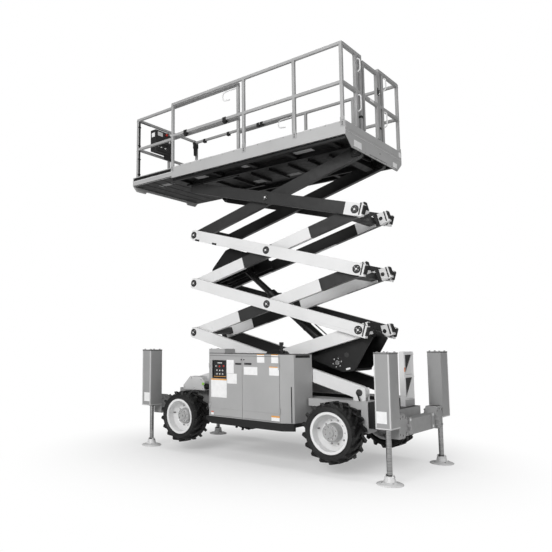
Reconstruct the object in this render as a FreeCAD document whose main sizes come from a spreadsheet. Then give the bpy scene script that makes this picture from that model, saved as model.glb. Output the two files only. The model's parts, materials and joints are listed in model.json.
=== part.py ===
import FreeCAD, Part
import math
import os
import re
from types import SimpleNamespace

import Sketcher

# Scissor lift: a four-wheel-drive work platform on outriggers, four scissor levels high.
# Millimetres. X points to the front, Y to the machine's left, Z up.
# Sizes are measured from the middle of the wheelbase at ground level. The finished pieces
# are shifted along X so that the origin lies under the middle of the overall length.

doc = FreeCAD.newDocument("ScissorLift")

# Driving dimensions: name, millimetres or degrees, meaning
SIZES = (
    ("wheel_base", 2290, "front axle to rear axle"),
    ("wheel_centre_height", 471, "above the ground, lifted by the outriggers"),
    ("tyre_radius", 340, "over the lugs"),
    ("tyre_width", 300, "over the lugs"),
    ("tyre_outer_face", 875, "outer side of a tyre from the middle plane"),
    ("lug_height", 24, "tread lug"),
    ("lug_width", 34, "tread lug along the tread"),
    ("lug_root", 30, "how deep a tread lug starts below the crown"),
    ("lug_overlap", 12, "how far a tread lug passes the middle of the tread"),
    ("lug_slant", 33, "degrees from straight across the tread"),
    ("rim_radius", 235, "outer lip of the rim"),
    ("rim_lip", 18, "thickness of the rim's lip and well"),
    ("hub_radius", 78, "hub boss on the wheel disc"),
    ("disc_offset", 15, "wheel disc's outer face from the middle of the tyre"),
    ("disc_depth", 40, "wheel disc at the hub, face to back"),
    ("seat_gap", 0.3, "between faces that meet on different bodies"),
    ("bead_gap", 0.3, "tyre bead to rim"),
    ("kingpin_offset", 500, "steering axis from the middle plane"),
    ("kingpin_radius", 24, "steering pin"),
    ("yoke_half", 95, "half height of the yoke at a steering knuckle"),
    ("yoke_plate", 30, "thickness of a yoke arm"),
    ("running_gap", 0.1, "radial clearance of a pin in its bore"),
    ("axle_radius", 52, "axle tube"),
    ("arm_length", 2685, "pin to pin of a scissor arm"),
    ("arm_depth", 155, "height of a scissor arm's section"),
    ("arm_width", 64, "thickness of a scissor arm"),
    ("arm_wall", 12, "gap between outer and inner arm"),
    ("arm_outer_face", 428, "outer side of the outer arms"),
    ("arm_angle", 15.6, "degrees above level, as parked"),
    ("pin_radius", 26, "pivot pins of the arms"),
    ("cap_radius", 42, "round cap on a pivot pin"),
    ("cap_depth", 11, "height of a pin cap"),
    ("plate_gap", 8, "arm to the clevis plates beside it"),
    ("clevis_plate", 16, "thickness of a clevis plate"),
    ("top_roller_radius", 58, "rollers under the platform"),
    ("roller_width", 50, "rollers at the front of the stack"),
    ("tie_half", 45, "half height of the ties between inner arms"),
    ("tie_setback", 125, "ties from the pins at the arms' ends"),
    ("rear_pivot_x", -1330, "rear pins of the scissor stack"),
    ("base_pivot_height", 905, "lowest pins of the scissor stack"),
    ("chassis_top", 815, "top of the chassis rails"),
    ("chassis_bottom", 525, "underside of the chassis rails"),
    ("chassis_half_length", 1600, "chassis rails from the middle of the wheelbase"),
    ("rail_outer", 345, "outer side of a chassis rail"),
    ("rail_inner", 232, "inner side of a chassis rail"),
    ("pod_front", 590, "front face of the side pods"),
    ("pod_rear", -715, "rear face of the side pods"),
    ("pod_inner", 450, "inner side of the side pods"),
    ("pod_outer", 865, "outer side of the side pods"),
    ("pod_bottom", 525, "underside of the side pods"),
    ("pod_top", 1341, "top of the side pods"),
    ("sheet_wall", 4, "sheet thickness of the pods"),
    ("door_gap", 4, "gap around a door"),
    ("door_frame", 12, "sheet left beside a door opening"),
    ("door_header", 30, "sheet left above the doors"),
    ("hinge_offset", 9, "door hinge axis outside the pod's face"),
    ("hinge_radius", 8, "door hinge knuckle"),
    ("hinge_pin", 5, "door hinge pin"),
    ("bearer_depth", 75, "height of the bearers under the pods"),
    ("door_split", 45, "seam between the two doors"),
    ("door_rear_edge", -515, "rear edge of the rear door"),
    ("recess_front", 530, "front edge of the ground controls"),
    ("recess_rear", 307, "rear edge of the ground controls"),
    ("recess_bottom", 1022, "lower edge of the ground controls"),
    ("recess_top", 1244, "upper edge of the ground controls"),
    ("jack_front", 1775, "front outrigger axis"),
    ("jack_rear", -1800, "rear outrigger axis"),
    ("jack_side", 760, "outrigger axis from the middle plane"),
    ("housing_length", 165, "outrigger housing along the machine"),
    ("housing_width", 236, "outrigger housing across the machine"),
    ("housing_wall", 8, "outrigger housing wall"),
    ("housing_bottom", 576, "underside of the housings"),
    ("housing_top", 1376, "top of the housings"),
    ("jack_rod_radius", 29, "chromed outrigger rod"),
    ("foot_radius", 140, "round outrigger foot"),
    ("foot_rim", 16, "thickness of the foot's plate"),
    ("guide_plate", 24, "plate at the housing's foot that guides the rod"),
    ("eye_radius", 20, "hole in a tie-down eye"),
    ("eye_plate", 20, "thickness of a tie-down eye"),
    ("eye_side", 430, "tie-down eyes from the middle plane"),
    ("ladder_foot", 735, "foot of the ladder"),
    ("ladder_top", 1370, "top of the ladder"),
    ("deck_front", 1370, "front end of the main deck"),
    ("deck_rear", -1425, "rear end of the main deck"),
    ("deck_half_width", 800, "outer side of the main deck"),
    ("floor_height", 3905, "top of the main floor"),
    ("floor_plate", 20, "main floor thickness"),
    ("panel_bottom", 3879, "lower edge of the deck's side panels"),
    ("toe_top", 4055, "top of the toe boards"),
    ("toe_wall", 12, "thickness of the toe boards"),
    ("end_plate_bottom", 3761, "lower edge of the rear end plate"),
    ("end_plate_chamfer", 145, "corner cut of the rear end plate"),
    ("top_rail_height", 5010, "middle of the top rail"),
    ("mid_rail_height", 4527, "middle of the mid rail"),
    ("rail_tube", 20, "half the side of the square guard rail tubes"),
    ("hinge_reach", 8, "gate hinge axis inside the rails' inner face"),
    ("extension_front", 2246, "front of the roll-out deck, as parked"),
    ("extension_rear", 150, "rear of the roll-out deck, as parked"),
    ("extension_half_width", 772, "outer side of the roll-out deck"),
    ("extension_floor", 3940, "top of the roll-out floor"),
    ("extension_plate", 25, "roll-out floor thickness"),
    ("barrel_radius", 62, "lift cylinder barrel"),
    ("piston_rod_radius", 44, "lift cylinder rod"),
    ("cylinder_closed", 1560, "lift cylinder, pin to pin, at its shortest"),
)

sheet = doc.addObject("Spreadsheet::Sheet", "dims")
for row, (alias, number, meaning) in enumerate(SIZES, start=1):
    sheet.set("A%d" % row, alias)
    sheet.set("B%d" % row, str(number))
    sheet.set("C%d" % row, meaning)
    sheet.setAlias("B%d" % row, alias)
doc.recompute()
D = SimpleNamespace(**{alias: float(number) for alias, number, _ in SIZES})
ALIASES = {alias for alias, _, _ in SIZES}

V = FreeCAD.Vector
AXIS_X = FreeCAD.Rotation(V(0, 1, 0), 90)
AXIS_Y = FreeCAD.Rotation(V(1, 0, 0), -90)
UPRIGHT = FreeCAD.Rotation()

# Lengths that follow from the sizes above
LEVELS = 4
ANGLE = math.radians(D.arm_angle)
REACH = D.arm_length * math.cos(ANGLE)
RISE = D.arm_length * math.sin(ANGLE)
FRONT_PIVOT_X = D.rear_pivot_x + REACH
INNER_OUTER_FACE = D.arm_outer_face - D.arm_width - D.arm_wall
INNER_INNER_FACE = INNER_OUTER_FACE - D.arm_width
REAR_REACH = D.jack_rear - D.foot_radius
SHIFT = -(D.extension_front + REAR_REACH) / 2
PARTS = []


def linked(text):
    """Point every size name in an expression at the sheet."""
    return re.sub(r"[a-z_]+", lambda word: "dims." + word.group() if word.group() in ALIASES
                  else word.group(), text)


def bind(thing, prop, size):
    """Tie a property to the sheet, or give it a worked-out number."""
    thing.setExpression(prop, linked(size) if isinstance(size, str) else "%.6f" % size)


def box(length, width, height, at):
    """A block with its low corner at the given place."""
    block = doc.addObject("Part::Box", "Block")
    bind(block, "Length", length)
    bind(block, "Width", width)
    bind(block, "Height", height)
    block.Placement = FreeCAD.Placement(V(*at), UPRIGHT)
    return block


def slab(x, y, z):
    """A block between two limits along each axis."""
    return box(x[1] - x[0], y[1] - y[0], z[1] - z[0], (x[0], y[0], z[0]))


def rod(radius, length, at, turn=UPRIGHT):
    """A round bar that starts at the given place and runs along the turned Z axis."""
    bar = doc.addObject("Part::Cylinder", "Bar")
    bind(bar, "Radius", radius)
    bind(bar, "Height", length)
    bar.Placement = FreeCAD.Placement(V(*at), turn)
    return bar


def tube_between(radius, start, end):
    """A round bar from one point to another."""
    way = V(*end) - V(*start)
    return rod(radius, way.Length, start, FreeCAD.Rotation(V(0, 0, 1), way))


def fuse(*pieces):
    if len(pieces) == 1:
        return group(pieces)
    joined = doc.addObject("Part::MultiFuse", "Joined")
    joined.Shapes = list(pieces)
    joined.Refine = True
    return joined


def cut(base, *tools):
    left = doc.addObject("Part::Cut", "Cut")
    left.Base = base
    left.Tool = tools[0] if len(tools) == 1 else fuse(*tools)
    return left


def sketch_outline(body, plane_role, points, offset=0.0):
    """A closed outline on one of the body's planes, each corner tied to its own place."""
    outline = body.newObject("Sketcher::SketchObject", "Outline")
    plane = [f for f in body.Origin.OriginFeatures if f.Role == plane_role][0]
    outline.AttachmentSupport = [(plane, "")]
    outline.MapMode = "FlatFace"
    outline.AttachmentOffset = FreeCAD.Placement(V(0, 0, offset), UPRIGHT)
    count = len(points)
    corners = [V(p[0], p[1], 0) for p in points]
    for index in range(count):
        outline.addGeometry(Part.LineSegment(corners[index], corners[(index + 1) % count]), False)
    for index in range(count):
        outline.addConstraint(Sketcher.Constraint("Coincident", index, 2, (index + 1) % count, 1))
    for index, corner in enumerate(corners):
        outline.addConstraint(Sketcher.Constraint("DistanceX", -1, 1, index, 1, corner.x))
        outline.addConstraint(Sketcher.Constraint("DistanceY", -1, 1, index, 1, corner.y))
    return outline


def prism(plane_role, points, thickness, offset=0.0):
    """A plate of constant thickness, padded both ways from its outline."""
    body = doc.addObject("PartDesign::Body", "Plate")
    outline = sketch_outline(body, plane_role, points, offset)
    pad = body.newObject("PartDesign::Pad", "Pad")
    pad.Profile = outline
    bind(pad, "Length", thickness)
    pad.Midplane = True
    return body


def turned(points):
    """A round form: an outline of (radius, height) corners spun about the Z axis."""
    body = doc.addObject("PartDesign::Body", "Turned")
    outline = sketch_outline(body, "XZ_Plane", points)
    spin = body.newObject("PartDesign::Revolution", "Spin")
    spin.Profile = outline
    spin.ReferenceAxis = (outline, ["V_Axis"])
    spin.Angle = 360
    return body


def copy_of(piece, place=None):
    """The same form again at another place."""
    doc.recompute()
    again = doc.addObject("Part::Feature", "Copy")
    again.Shape = piece.Shape
    if place is not None:
        again.Placement = place.multiply(piece.Placement)
    return again


def mirrored(piece):
    """The same form on the other side of the middle plane."""
    other = doc.addObject("Part::Mirroring", "Mirrored")
    other.Source = piece
    other.Normal = V(0, 1, 0)
    return other


def both_sides(piece):
    return piece, mirrored(piece)


def group(pieces):
    """Like pieces that one body carries, kept as separate solids."""
    together = doc.addObject("Part::Compound", "Together")
    together.Links = list(pieces)
    return together


def subpart(name, piece, at=(0, 0, 0), turn=UPRIGHT):
    """Name a finished piece and put it at its place in the machine's own frame."""
    piece.Label = name
    piece.Placement = FreeCAD.Placement(V(at[0] + SHIFT, at[1], at[2]), turn)
    PARTS.append(piece)
    return piece


# Wheels: a lugged tyre on a dished rim, axis along Y in the machine, along Z while modelled
def lug(side, angle):
    """One slanted tread bar from the middle of the tread out to the shoulder."""
    length = D.tyre_width * 0.56
    bar = Part.makeBox(length, D.lug_width, D.lug_height + D.lug_root)
    bar.translate(V(-D.lug_overlap, -D.lug_width / 2, 0))
    bar.rotate(V(0, 0, 0), V(0, 0, 1), D.lug_slant)
    # lay the bar on the tread: its length runs across the tyre, its height outwards
    bar.rotate(V(0, 0, 0), V(0, 1, 0), -90)
    bar.rotate(V(0, 0, 0), V(0, 0, 1), 180)
    bar.translate(V(D.tyre_radius - D.lug_height - D.lug_root, 0, 0))
    if side < 0:
        bar = bar.mirror(V(0, 0, 0), V(0, 0, 1))
    bar.rotate(V(0, 0, 0), V(0, 0, 1), angle)
    return bar


def tyre_shape():
    half = D.tyre_width / 2
    crown = D.tyre_radius - D.lug_height
    bead = D.rim_radius - D.rim_lip + D.bead_gap
    lip = D.rim_radius + 2
    carcass = turned((
        (bead, -half * 0.76), (lip, -half * 0.76), (lip, -half * 0.90), (crown - 62, -half),
        (crown - 26, -half * 0.96), (crown - 4, -half * 0.72), (crown, 0), (crown - 4, half * 0.72),
        (crown - 26, half * 0.96), (crown - 62, half), (lip, half * 0.90), (lip, half * 0.76),
        (bead, half * 0.76)))
    doc.recompute()
    lugs_per_side = 17
    step = 360.0 / lugs_per_side
    bars = [lug(1, i * step) for i in range(lugs_per_side)]
    bars += [lug(-1, (i + 0.5) * step) for i in range(lugs_per_side)]
    limit = Part.makeCylinder(D.tyre_radius, D.tyre_width, V(0, 0, -half))
    whole = carcass.Shape.fuse([bar.common(limit) for bar in bars])
    return whole.removeSplitter()


def rim_body():
    half = D.tyre_width / 2
    lip = D.rim_radius
    well = D.rim_radius - D.rim_lip
    disc = D.disc_offset
    return turned((
        (0, disc), (D.hub_radius, disc), (D.hub_radius + 10, disc - 22), (well - 60, disc - 40),
        (well - 14, disc + 10), (well - 12, half * 0.84), (lip, half * 0.86), (lip, half * 0.80),
        (well, half * 0.78), (well, -half * 0.78), (lip, -half * 0.80), (lip, -half * 0.86),
        (well - 12, -half * 0.84), (well - 12, disc - 30), (well - 62, disc - 58),
        (D.hub_radius + 6, disc - D.disc_depth), (0, disc - D.disc_depth)))


def hub_seat():
    """Where the axle's hub flange meets the back of a wheel disc."""
    return D.tyre_outer_face - D.tyre_width / 2 + D.disc_offset - D.disc_depth - D.seat_gap


def wheels():
    tyre = doc.addObject("Part::Feature", "TyreForm")
    tyre.Shape = tyre_shape()
    rim = rim_body()
    corners = (("front_left", 1, 1), ("front_right", 1, -1), ("rear_left", -1, 1), ("rear_right", -1, -1))
    for corner, along, side in corners:
        at = (along * D.wheel_base / 2, side * (D.tyre_outer_face - D.tyre_width / 2), D.wheel_centre_height)
        outward = FreeCAD.Rotation(V(1, 0, 0), -90 * side)
        subpart("tyre_" + corner, copy_of(tyre), at, outward)
        subpart("rim_" + corner, copy_of(rim), at, outward)


# Axles and steering knuckles
def axle_mounts(x):
    """Blocks that carry the axle under both chassis rails."""
    low = D.wheel_centre_height + 25
    return [slab((x - 60, x + 60), (y, y + 70), (low, D.chassis_bottom)) for y in (-325, 255)]


def axles():
    half_track = D.kingpin_offset
    front_x = D.wheel_base / 2
    height = D.wheel_centre_height
    beam = tube_between(D.axle_radius, (front_x, -half_track + 70, height), (front_x, half_track - 70, height))
    yokes = []
    for side in (1, -1):
        y = side * half_track
        for low in (height - D.yoke_half, height + D.yoke_half - D.yoke_plate):
            yokes.append(slab((front_x - 38, front_x + 38), sorted((y - side * 110, y)), (low, low + D.yoke_plate)))
            yokes.append(rod(38, "yoke_plate", (front_x, y, low)))
        yokes.append(slab((front_x - 38, front_x + 38), sorted((y - side * 110, y - side * 66)),
                          (height - D.yoke_half, height + D.yoke_half)))
    bores = [rod("kingpin_radius + running_gap", 240, (front_x, side * half_track, height - 120))
             for side in (1, -1)]
    casing = rod(105, 150, (front_x, -75, height), AXIS_Y)
    subpart("front_axle", cut(fuse(beam, casing, *yokes, *axle_mounts(front_x)), *bores))

    rear_x = -D.wheel_base / 2
    tube_half = hub_seat()
    tube = tube_between(D.axle_radius, (rear_x, -tube_half, height), (rear_x, tube_half, height))
    casing = rod(110, 160, (rear_x, -80, height), AXIS_Y)
    drums = [tube_between(78, (rear_x, side * (tube_half - 110), height), (rear_x, side * tube_half, height))
             for side in (1, -1)]
    subpart("rear_axle", fuse(tube, casing, *drums, *axle_mounts(rear_x)))


def knuckles():
    height = D.wheel_centre_height
    x = D.wheel_base / 2
    for name, side in (("left", 1), ("right", -1)):
        y = side * D.kingpin_offset
        hub_end = side * hub_seat()
        pin = rod("kingpin_radius", 2 * D.yoke_half + 6, (x, y, height - D.yoke_half - 3))
        body_half = D.yoke_half - D.yoke_plate - 5
        body = slab((x - 34, x + 34), (y - 34, y + 34), (height - body_half, height + body_half))
        neck = tube_between(50, (x, y, height), (x, y + side * 60, height))
        drum = tube_between(78, (x, y + side * 44, height), (x, hub_end, height))
        arm = slab((x - 190, x), sorted((y - side * 20, y + side * 12)), (height - 55, height - 30))
        subpart("knuckle_" + name, fuse(pin, body, neck, drum, arm))


# Chassis: two box rails, end and cross members, the clevis plates of the rear pivots
# and the tracks of the front rollers
def clevis_plates(faces, x, half, z):
    """Plates on both sides of the arms, either side of each arm."""
    plates = []
    for side in (1, -1):
        for face, away in faces:
            low, high = sorted((side * face, side * (face + away)))
            plates.append(slab((x - half, x + half), (low, high), z))
    return plates


def chassis():
    pieces = []
    for side in (1, -1):
        pieces.append(slab((-D.chassis_half_length, D.chassis_half_length),
                           sorted((side * D.rail_inner, side * D.rail_outer)),
                           (D.chassis_bottom, D.chassis_top)))
        # outboard decks behind the pods, above the rear axle
        pieces.append(slab((-1400, D.pod_rear - 8), sorted((side * D.rail_outer, side * 560)),
                           (D.chassis_top - 90, D.chassis_top)))
    # bearers that carry the pods
    bearer_end = D.pod_outer - 60
    for x in (-560, 330):
        pieces.append(slab((x, x + 120), (-bearer_end, bearer_end),
                           (D.chassis_bottom - D.bearer_depth, D.chassis_bottom)))
    outer_plates = ((D.arm_outer_face - D.arm_width - D.plate_gap, -D.clevis_plate),
                    (D.arm_outer_face + D.plate_gap, D.clevis_plate))
    pieces += clevis_plates(outer_plates, D.rear_pivot_x, 75, (D.chassis_top - 40, D.base_pivot_height + 58))
    cross = [slab((x, x + 110), (-D.rail_inner - 5, D.rail_inner + 5), (D.chassis_bottom, D.chassis_bottom + 90))
             for x in (-1590, -900, 850, 1480)]
    bore = rod("pin_radius + running_gap", 960, (D.rear_pivot_x, -480, D.base_pivot_height), AXIS_Y)
    subpart("chassis_frame", cut(fuse(*pieces, *cross), bore))


# Scissor arms. Each is a bar with round ends, modelled with its rear pin at the origin
def arm_bar(y_low, y_high):
    width = y_high - y_low
    beam = box("arm_length", width, "arm_depth", (0, y_low, -D.arm_depth / 2))
    ends = [rod("arm_depth / 2", width, (x, y_low, 0), AXIS_Y) for x in (0, D.arm_length)]
    return fuse(beam, *ends)


def outer_pair(level):
    y_low = D.arm_outer_face - D.arm_width
    y_high = D.arm_outer_face
    bars = []
    for side in (1, -1):
        low, high = sorted((side * y_low, side * y_high))
        pieces = [arm_bar(low, high)]
        inner_end = side * (INNER_INNER_FACE + 4)
        cap_end = side * (y_high + D.cap_depth)
        # middle pin, carried by the outer arm and running in the inner one
        for x in (D.arm_length / 2, 0) if level > 1 else (D.arm_length / 2,):
            pieces.append(tube_between("pin_radius", (x, inner_end, 0), (x, side * y_low, 0)))
            pieces.append(tube_between("cap_radius", (x, side * y_high, 0), (x, cap_end, 0)))
        if level == 1:
            # foot pin through both clevis plates
            reach = D.plate_gap + D.clevis_plate
            low, high = sorted((side * (y_low - reach), side * (y_high + reach)))
            pieces.append(tube_between("pin_radius", (0, low, 0), (0, high, 0)))
        if level < LEVELS:
            pieces.append(tube_between("pin_radius", (D.arm_length, inner_end, 0), (D.arm_length, side * y_low, 0)))
            pieces.append(tube_between("cap_radius", (D.arm_length, side * y_high, 0), (D.arm_length, cap_end, 0)))
        else:
            # roller that runs under the platform
            pieces.append(tube_between("top_roller_radius", (D.arm_length, side * (y_low - D.roller_width), 0),
                                       (D.arm_length, side * y_low, 0)))
        bars.append(fuse(*pieces))
    return group(bars)


def inner_pair(level):
    low, high = INNER_INNER_FACE, INNER_OUTER_FACE
    bars = [arm_bar(low, high), arm_bar(-high, -low)]
    ties = []
    for x in (D.tie_setback, D.arm_length - D.tie_setback):
        ties.append(slab((x - D.tie_half, x + D.tie_half), (-low - 2, low + 2), (-D.tie_half, D.tie_half)))
    extras = []
    if level == 1:
        # rollers in the chassis tracks, at the front end
        for side in (1, -1):
            roller = D.base_pivot_height - D.chassis_top - D.seat_gap
            extras.append(tube_between(roller, (0, side * (low - D.roller_width), 0), (0, side * (low - 6), 0)))
            extras.append(tube_between("cap_radius", (0, side * (low - 10), 0), (0, side * (low + 2), 0)))
    if level == LEVELS:
        # pins in the platform's clevis plates
        for side in (1, -1):
            extras.append(tube_between("pin_radius", (D.arm_length, side * (low - 30), 0),
                                       (D.arm_length, side * (high + 30), 0)))
    bores = [rod("pin_radius + running_gap", 1000, (x, -500, 0), AXIS_Y)
             for x in ((D.arm_length / 2,) + ((0,) if level > 1 else ()) + ((D.arm_length,) if level < LEVELS else ()))]
    return bars, ties, extras, bores


# Lift cylinder geometry in the inner arms' own frame: along the arm from its front pin, and above it
LOWER_EYE = (D.arm_length - 484.0, -272.0)
UPPER_EYE = (656.0, 23.0)


def inner_place(level, along, above):
    """A point on an inner arm, in the wheelbase frame."""
    x = FRONT_PIVOT_X - along * math.cos(ANGLE) + above * math.sin(ANGLE)
    z = D.base_pivot_height + (level - 1) * RISE + along * math.sin(ANGLE) + above * math.cos(ANGLE)
    return x, z


def scissor():
    uphill = FreeCAD.Rotation(V(0, 1, 0), -D.arm_angle)
    # an inner arm is modelled from its front pin, so it is turned round to run to the rear
    downhill = FreeCAD.Rotation(V(0, 1, 0), D.arm_angle).multiply(FreeCAD.Rotation(V(0, 0, 1), 180))
    for level in range(1, LEVELS + 1):
        height = D.base_pivot_height + (level - 1) * RISE
        subpart("outer_arms_%d" % level, outer_pair(level), (D.rear_pivot_x, 0, height), uphill)
        bars, ties, extras, bores = inner_pair(level)
        if level == 1:
            # hanging bracket of the lift cylinder's lower eye
            for side in (1, -1):
                plate = prism("XZ_Plane", ((LOWER_EYE[0] - 70, LOWER_EYE[1] - 60), (LOWER_EYE[0] + 70, LOWER_EYE[1] - 60),
                                           (D.arm_length - 20, -30), (D.arm_length - 100, 60),
                                           (1500, 10), (1500, -77)), 16, 90 * side)
                extras.append(plate)
            extras.append(slab((1500, 1590), (-low_face(), low_face()), (-77, -27)))
            bores.append(rod("pin_radius + 10 + running_gap", 300, (LOWER_EYE[0], -150, LOWER_EYE[1]), AXIS_Y))
        if level == 3:
            for side in (1, -1):
                plate = prism("XZ_Plane", ((UPPER_EYE[0] - 260, -50), (UPPER_EYE[0] + 90, -50),
                                           (UPPER_EYE[0] + 90, 90), (UPPER_EYE[0] - 120, 230),
                                           (UPPER_EYE[0] - 400, 230), (UPPER_EYE[0] - 440, -50)), 16, 90 * side)
                extras.append(plate)
            x = UPPER_EYE[0] - 330
            extras.append(slab((x - 45, x + 45), (-low_face(), low_face()), (-15, 75)))
        whole = cut(fuse(*bars, *ties, *extras), *bores)
        subpart("inner_arms_%d" % level, whole, (FRONT_PIVOT_X, 0, height), downhill)


def low_face():
    """Where a cross piece meets the inner arms."""
    return INNER_INNER_FACE + 2


def lift_cylinder():
    start = inner_place(1, *LOWER_EYE)
    end = inner_place(3, *UPPER_EYE)
    reach = math.hypot(end[0] - start[0], end[1] - start[1])
    lean = math.degrees(math.atan2(end[1] - start[1], end[0] - start[0]))
    along = FreeCAD.Rotation(V(0, 1, 0), -lean)
    barrel_length = D.cylinder_closed - 105
    eye = rod(70, 120, (0, -60, 0), AXIS_Y)
    trunnion = rod("pin_radius + 10", 200, (0, -100, 0), AXIS_Y)
    tube = rod("barrel_radius", barrel_length - 40, (40, 0, 0), AXIS_X)
    collar = rod("barrel_radius + 9", 60, (barrel_length - 60, 0, 0), AXIS_X)
    bore = rod("piston_rod_radius + running_gap", barrel_length, (100, 0, 0), AXIS_X)
    subpart("cylinder_barrel", cut(fuse(eye, trunnion, tube, collar), bore), (start[0], 0, start[1]), along)
    rod_start = 60 + barrel_length - D.cylinder_closed + reach - 1200 + 0
    piston = rod("piston_rod_radius", reach - 40 - (reach - D.cylinder_closed + 130), (reach - D.cylinder_closed + 130, 0, 0), AXIS_X)
    head = rod(66, 110, (reach, -55, 0), AXIS_Y)
    subpart("cylinder_rod", fuse(piston, head), (start[0], 0, start[1]), along)


# Side pods: hollow sheet boxes open at the doors
def pod(side):
    y_low, y_high = sorted((side * D.pod_inner, side * D.pod_outer))
    shell = slab((D.pod_rear, D.pod_front), (y_low, y_high), (D.pod_bottom, D.pod_top))
    wall = D.sheet_wall
    hollow = slab((D.pod_rear + wall, D.pod_front - wall), (y_low + wall, y_high - wall),
                  (D.pod_bottom + wall, D.pod_top - wall))
    opening = slab((D.door_rear_edge, D.pod_front - D.door_frame),
                   sorted((side * (D.pod_outer - 20), side * (D.pod_outer + 5))),
                   (D.pod_bottom + D.door_frame, D.pod_top - D.door_header))
    lugs = []
    for edge, away in ((D.pod_front - D.door_frame, 1), (D.door_rear_edge, -1)):
        for z in HINGE_HEIGHTS:
            lugs += hinge_lug(edge, away, side, z)
    return fuse(cut(shell, hollow, opening), *lugs)


HINGE_HEIGHTS = (D.pod_bottom + 110, D.pod_top - 190)
HINGE_LEAF = 30


def hinge_lug(edge, away, side, z):
    """The fixed half of a door hinge: a knuckle on a foot, with the pin standing up from it."""
    y = side * (D.pod_outer + D.hinge_offset)
    foot = slab(sorted((edge, edge + away * 10)), sorted((side * (D.pod_outer - 1), y)), (z, z + HINGE_LEAF))
    return [foot, rod("hinge_radius", HINGE_LEAF, (edge, y, z)), rod("hinge_pin", 2 * HINGE_LEAF, (edge, y, z))]


def hinge_leaf(edge, away, side, z):
    """The moving half of a door hinge, bored for the pin."""
    y = side * (D.pod_outer + D.hinge_offset)
    low = z + HINGE_LEAF + D.seat_gap
    tab = slab(sorted((edge - away * 4, edge - away * 24)), sorted((side * (D.pod_outer - 1), y - side * 2)),
               (low, low + HINGE_LEAF))
    arm = slab(sorted((edge, edge - away * 8)), sorted((y - side * 3, y + side * 3)), (low, low + HINGE_LEAF))
    bore = rod("hinge_pin + running_gap", 100, (edge, y, z - 10))
    return cut(fuse(rod("hinge_radius", HINGE_LEAF, (edge, y, low)), tab, arm), bore)


def pods():
    subpart("pod_left", pod(1))
    subpart("pod_right", pod(-1))
    gap = D.door_gap
    low = D.pod_bottom + D.door_frame + gap
    high = D.pod_top - D.door_header - gap
    front_edge = D.pod_front - D.door_frame
    leaves = (("front", D.door_split + gap / 2, front_edge - gap, front_edge, 1),
              ("rear", D.door_rear_edge + gap, D.door_split - gap / 2, D.door_rear_edge, -1))
    for side_name, side in (("left", 1), ("right", -1)):
        for name, rear, front, edge, away in leaves:
            faces = sorted((side * (D.pod_outer - D.sheet_wall), side * D.pod_outer))
            leaf = slab((rear, front), faces, (low, high))
            if side == 1 and name == "front":
                window = slab((D.recess_rear, D.recess_front), (faces[0] - 5, faces[1] + 5),
                              (D.recess_bottom, D.recess_top))
                leaf = cut(leaf, window)
            hinges = [hinge_leaf(edge, away, side, z) for z in HINGE_HEIGHTS]
            subpart("door_%s_%s" % (side_name, name), fuse(leaf, *hinges))


def pod_contents():
    y = D.pod_outer
    tray = slab((D.recess_rear + 6, D.recess_front - 6), (y - 74, y - 14), (D.recess_bottom + 6, D.recess_top - 6))
    bracket = slab((D.recess_rear + 40, D.recess_front - 40), (D.pod_inner + D.sheet_wall, y - 74),
                   (D.recess_bottom + 60, D.recess_bottom + 90))
    subpart("ground_controls", fuse(tray, bracket))
    subpart("engine_block", fuse(slab((-480, 180), (-790, -490), (D.pod_bottom + D.sheet_wall, D.pod_bottom + 560))))
    subpart("oil_tank", fuse(slab((-640, -120), (490, 800), (D.pod_bottom + D.sheet_wall, D.pod_bottom + 430))))


# Outriggers: four upright housings on two cross beams, with sliding legs
def outrigger_frame(name, x, outward):
    half_length = D.housing_length / 2
    half_width = D.housing_width / 2
    wall = D.housing_wall
    pieces = []
    hollows = []
    for side in (1, -1):
        y = side * D.jack_side
        pieces.append(slab((x - half_length, x + half_length), (y - half_width, y + half_width),
                           (D.housing_bottom, D.housing_top)))
        hollows.append(slab((x - half_length + wall, x + half_length - wall),
                            (y - half_width + wall, y + half_width - wall),
                            (D.housing_bottom + D.guide_plate, D.housing_top - wall)))
        hollows.append(rod("jack_rod_radius + running_gap", 200, (x, y, D.housing_bottom - 100)))
        # tie-down eye on the outside of the beam
        eye = slab(sorted((x + outward * 50, x + outward * 125)),
                   (side * D.eye_side - D.eye_plate / 2, side * D.eye_side + D.eye_plate / 2), (500, 600))
        pieces.append(eye)
        hollows.append(rod("eye_radius", 100, (x + outward * 92, side * D.eye_side - 50, 550), AXIS_Y))
    inner_wall = D.jack_side - half_width
    beam = slab((x - 60, x + 60), (-inner_wall - 2, inner_wall + 2), (470, 640))
    for side in (1, -1):
        # gusset from the beam up the inner wall of the housing
        low, high = sorted((side * (inner_wall - 70), side * (inner_wall + 2)))
        pieces.append(slab((x - 60, x + 60), (low, high), (D.housing_bottom - 60, D.housing_bottom + 140)))
    mount = slab(sorted((x - outward * 60, outward * D.chassis_half_length)), (-300, 300), (540, D.ladder_foot))
    return subpart(name, cut(fuse(*pieces, beam, mount), *hollows))


def outriggers():
    outrigger_frame("outrigger_frame_front", D.jack_front, 1)
    outrigger_frame("outrigger_frame_rear", D.jack_rear, -1)
    foot = turned(((0, 0), (D.foot_radius - 8, 0), (D.foot_radius, 6), (D.foot_radius, D.foot_rim - 4),
                   (D.foot_radius - 6, D.foot_rim), (64, 34), (50, 92), (D.jack_rod_radius, 92), (0, 92)))
    leg = group([rod("jack_rod_radius", 700, (0, 0, 92 + D.seat_gap))])
    corners = (("front_left", D.jack_front, 1), ("front_right", D.jack_front, -1),
               ("rear_left", D.jack_rear, 1), ("rear_right", D.jack_rear, -1))
    for corner, x, side in corners:
        at = (x, side * D.jack_side, 0)
        subpart("jack_foot_" + corner, copy_of(foot), at)
        subpart("jack_rod_" + corner, copy_of(leg), at)


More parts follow.
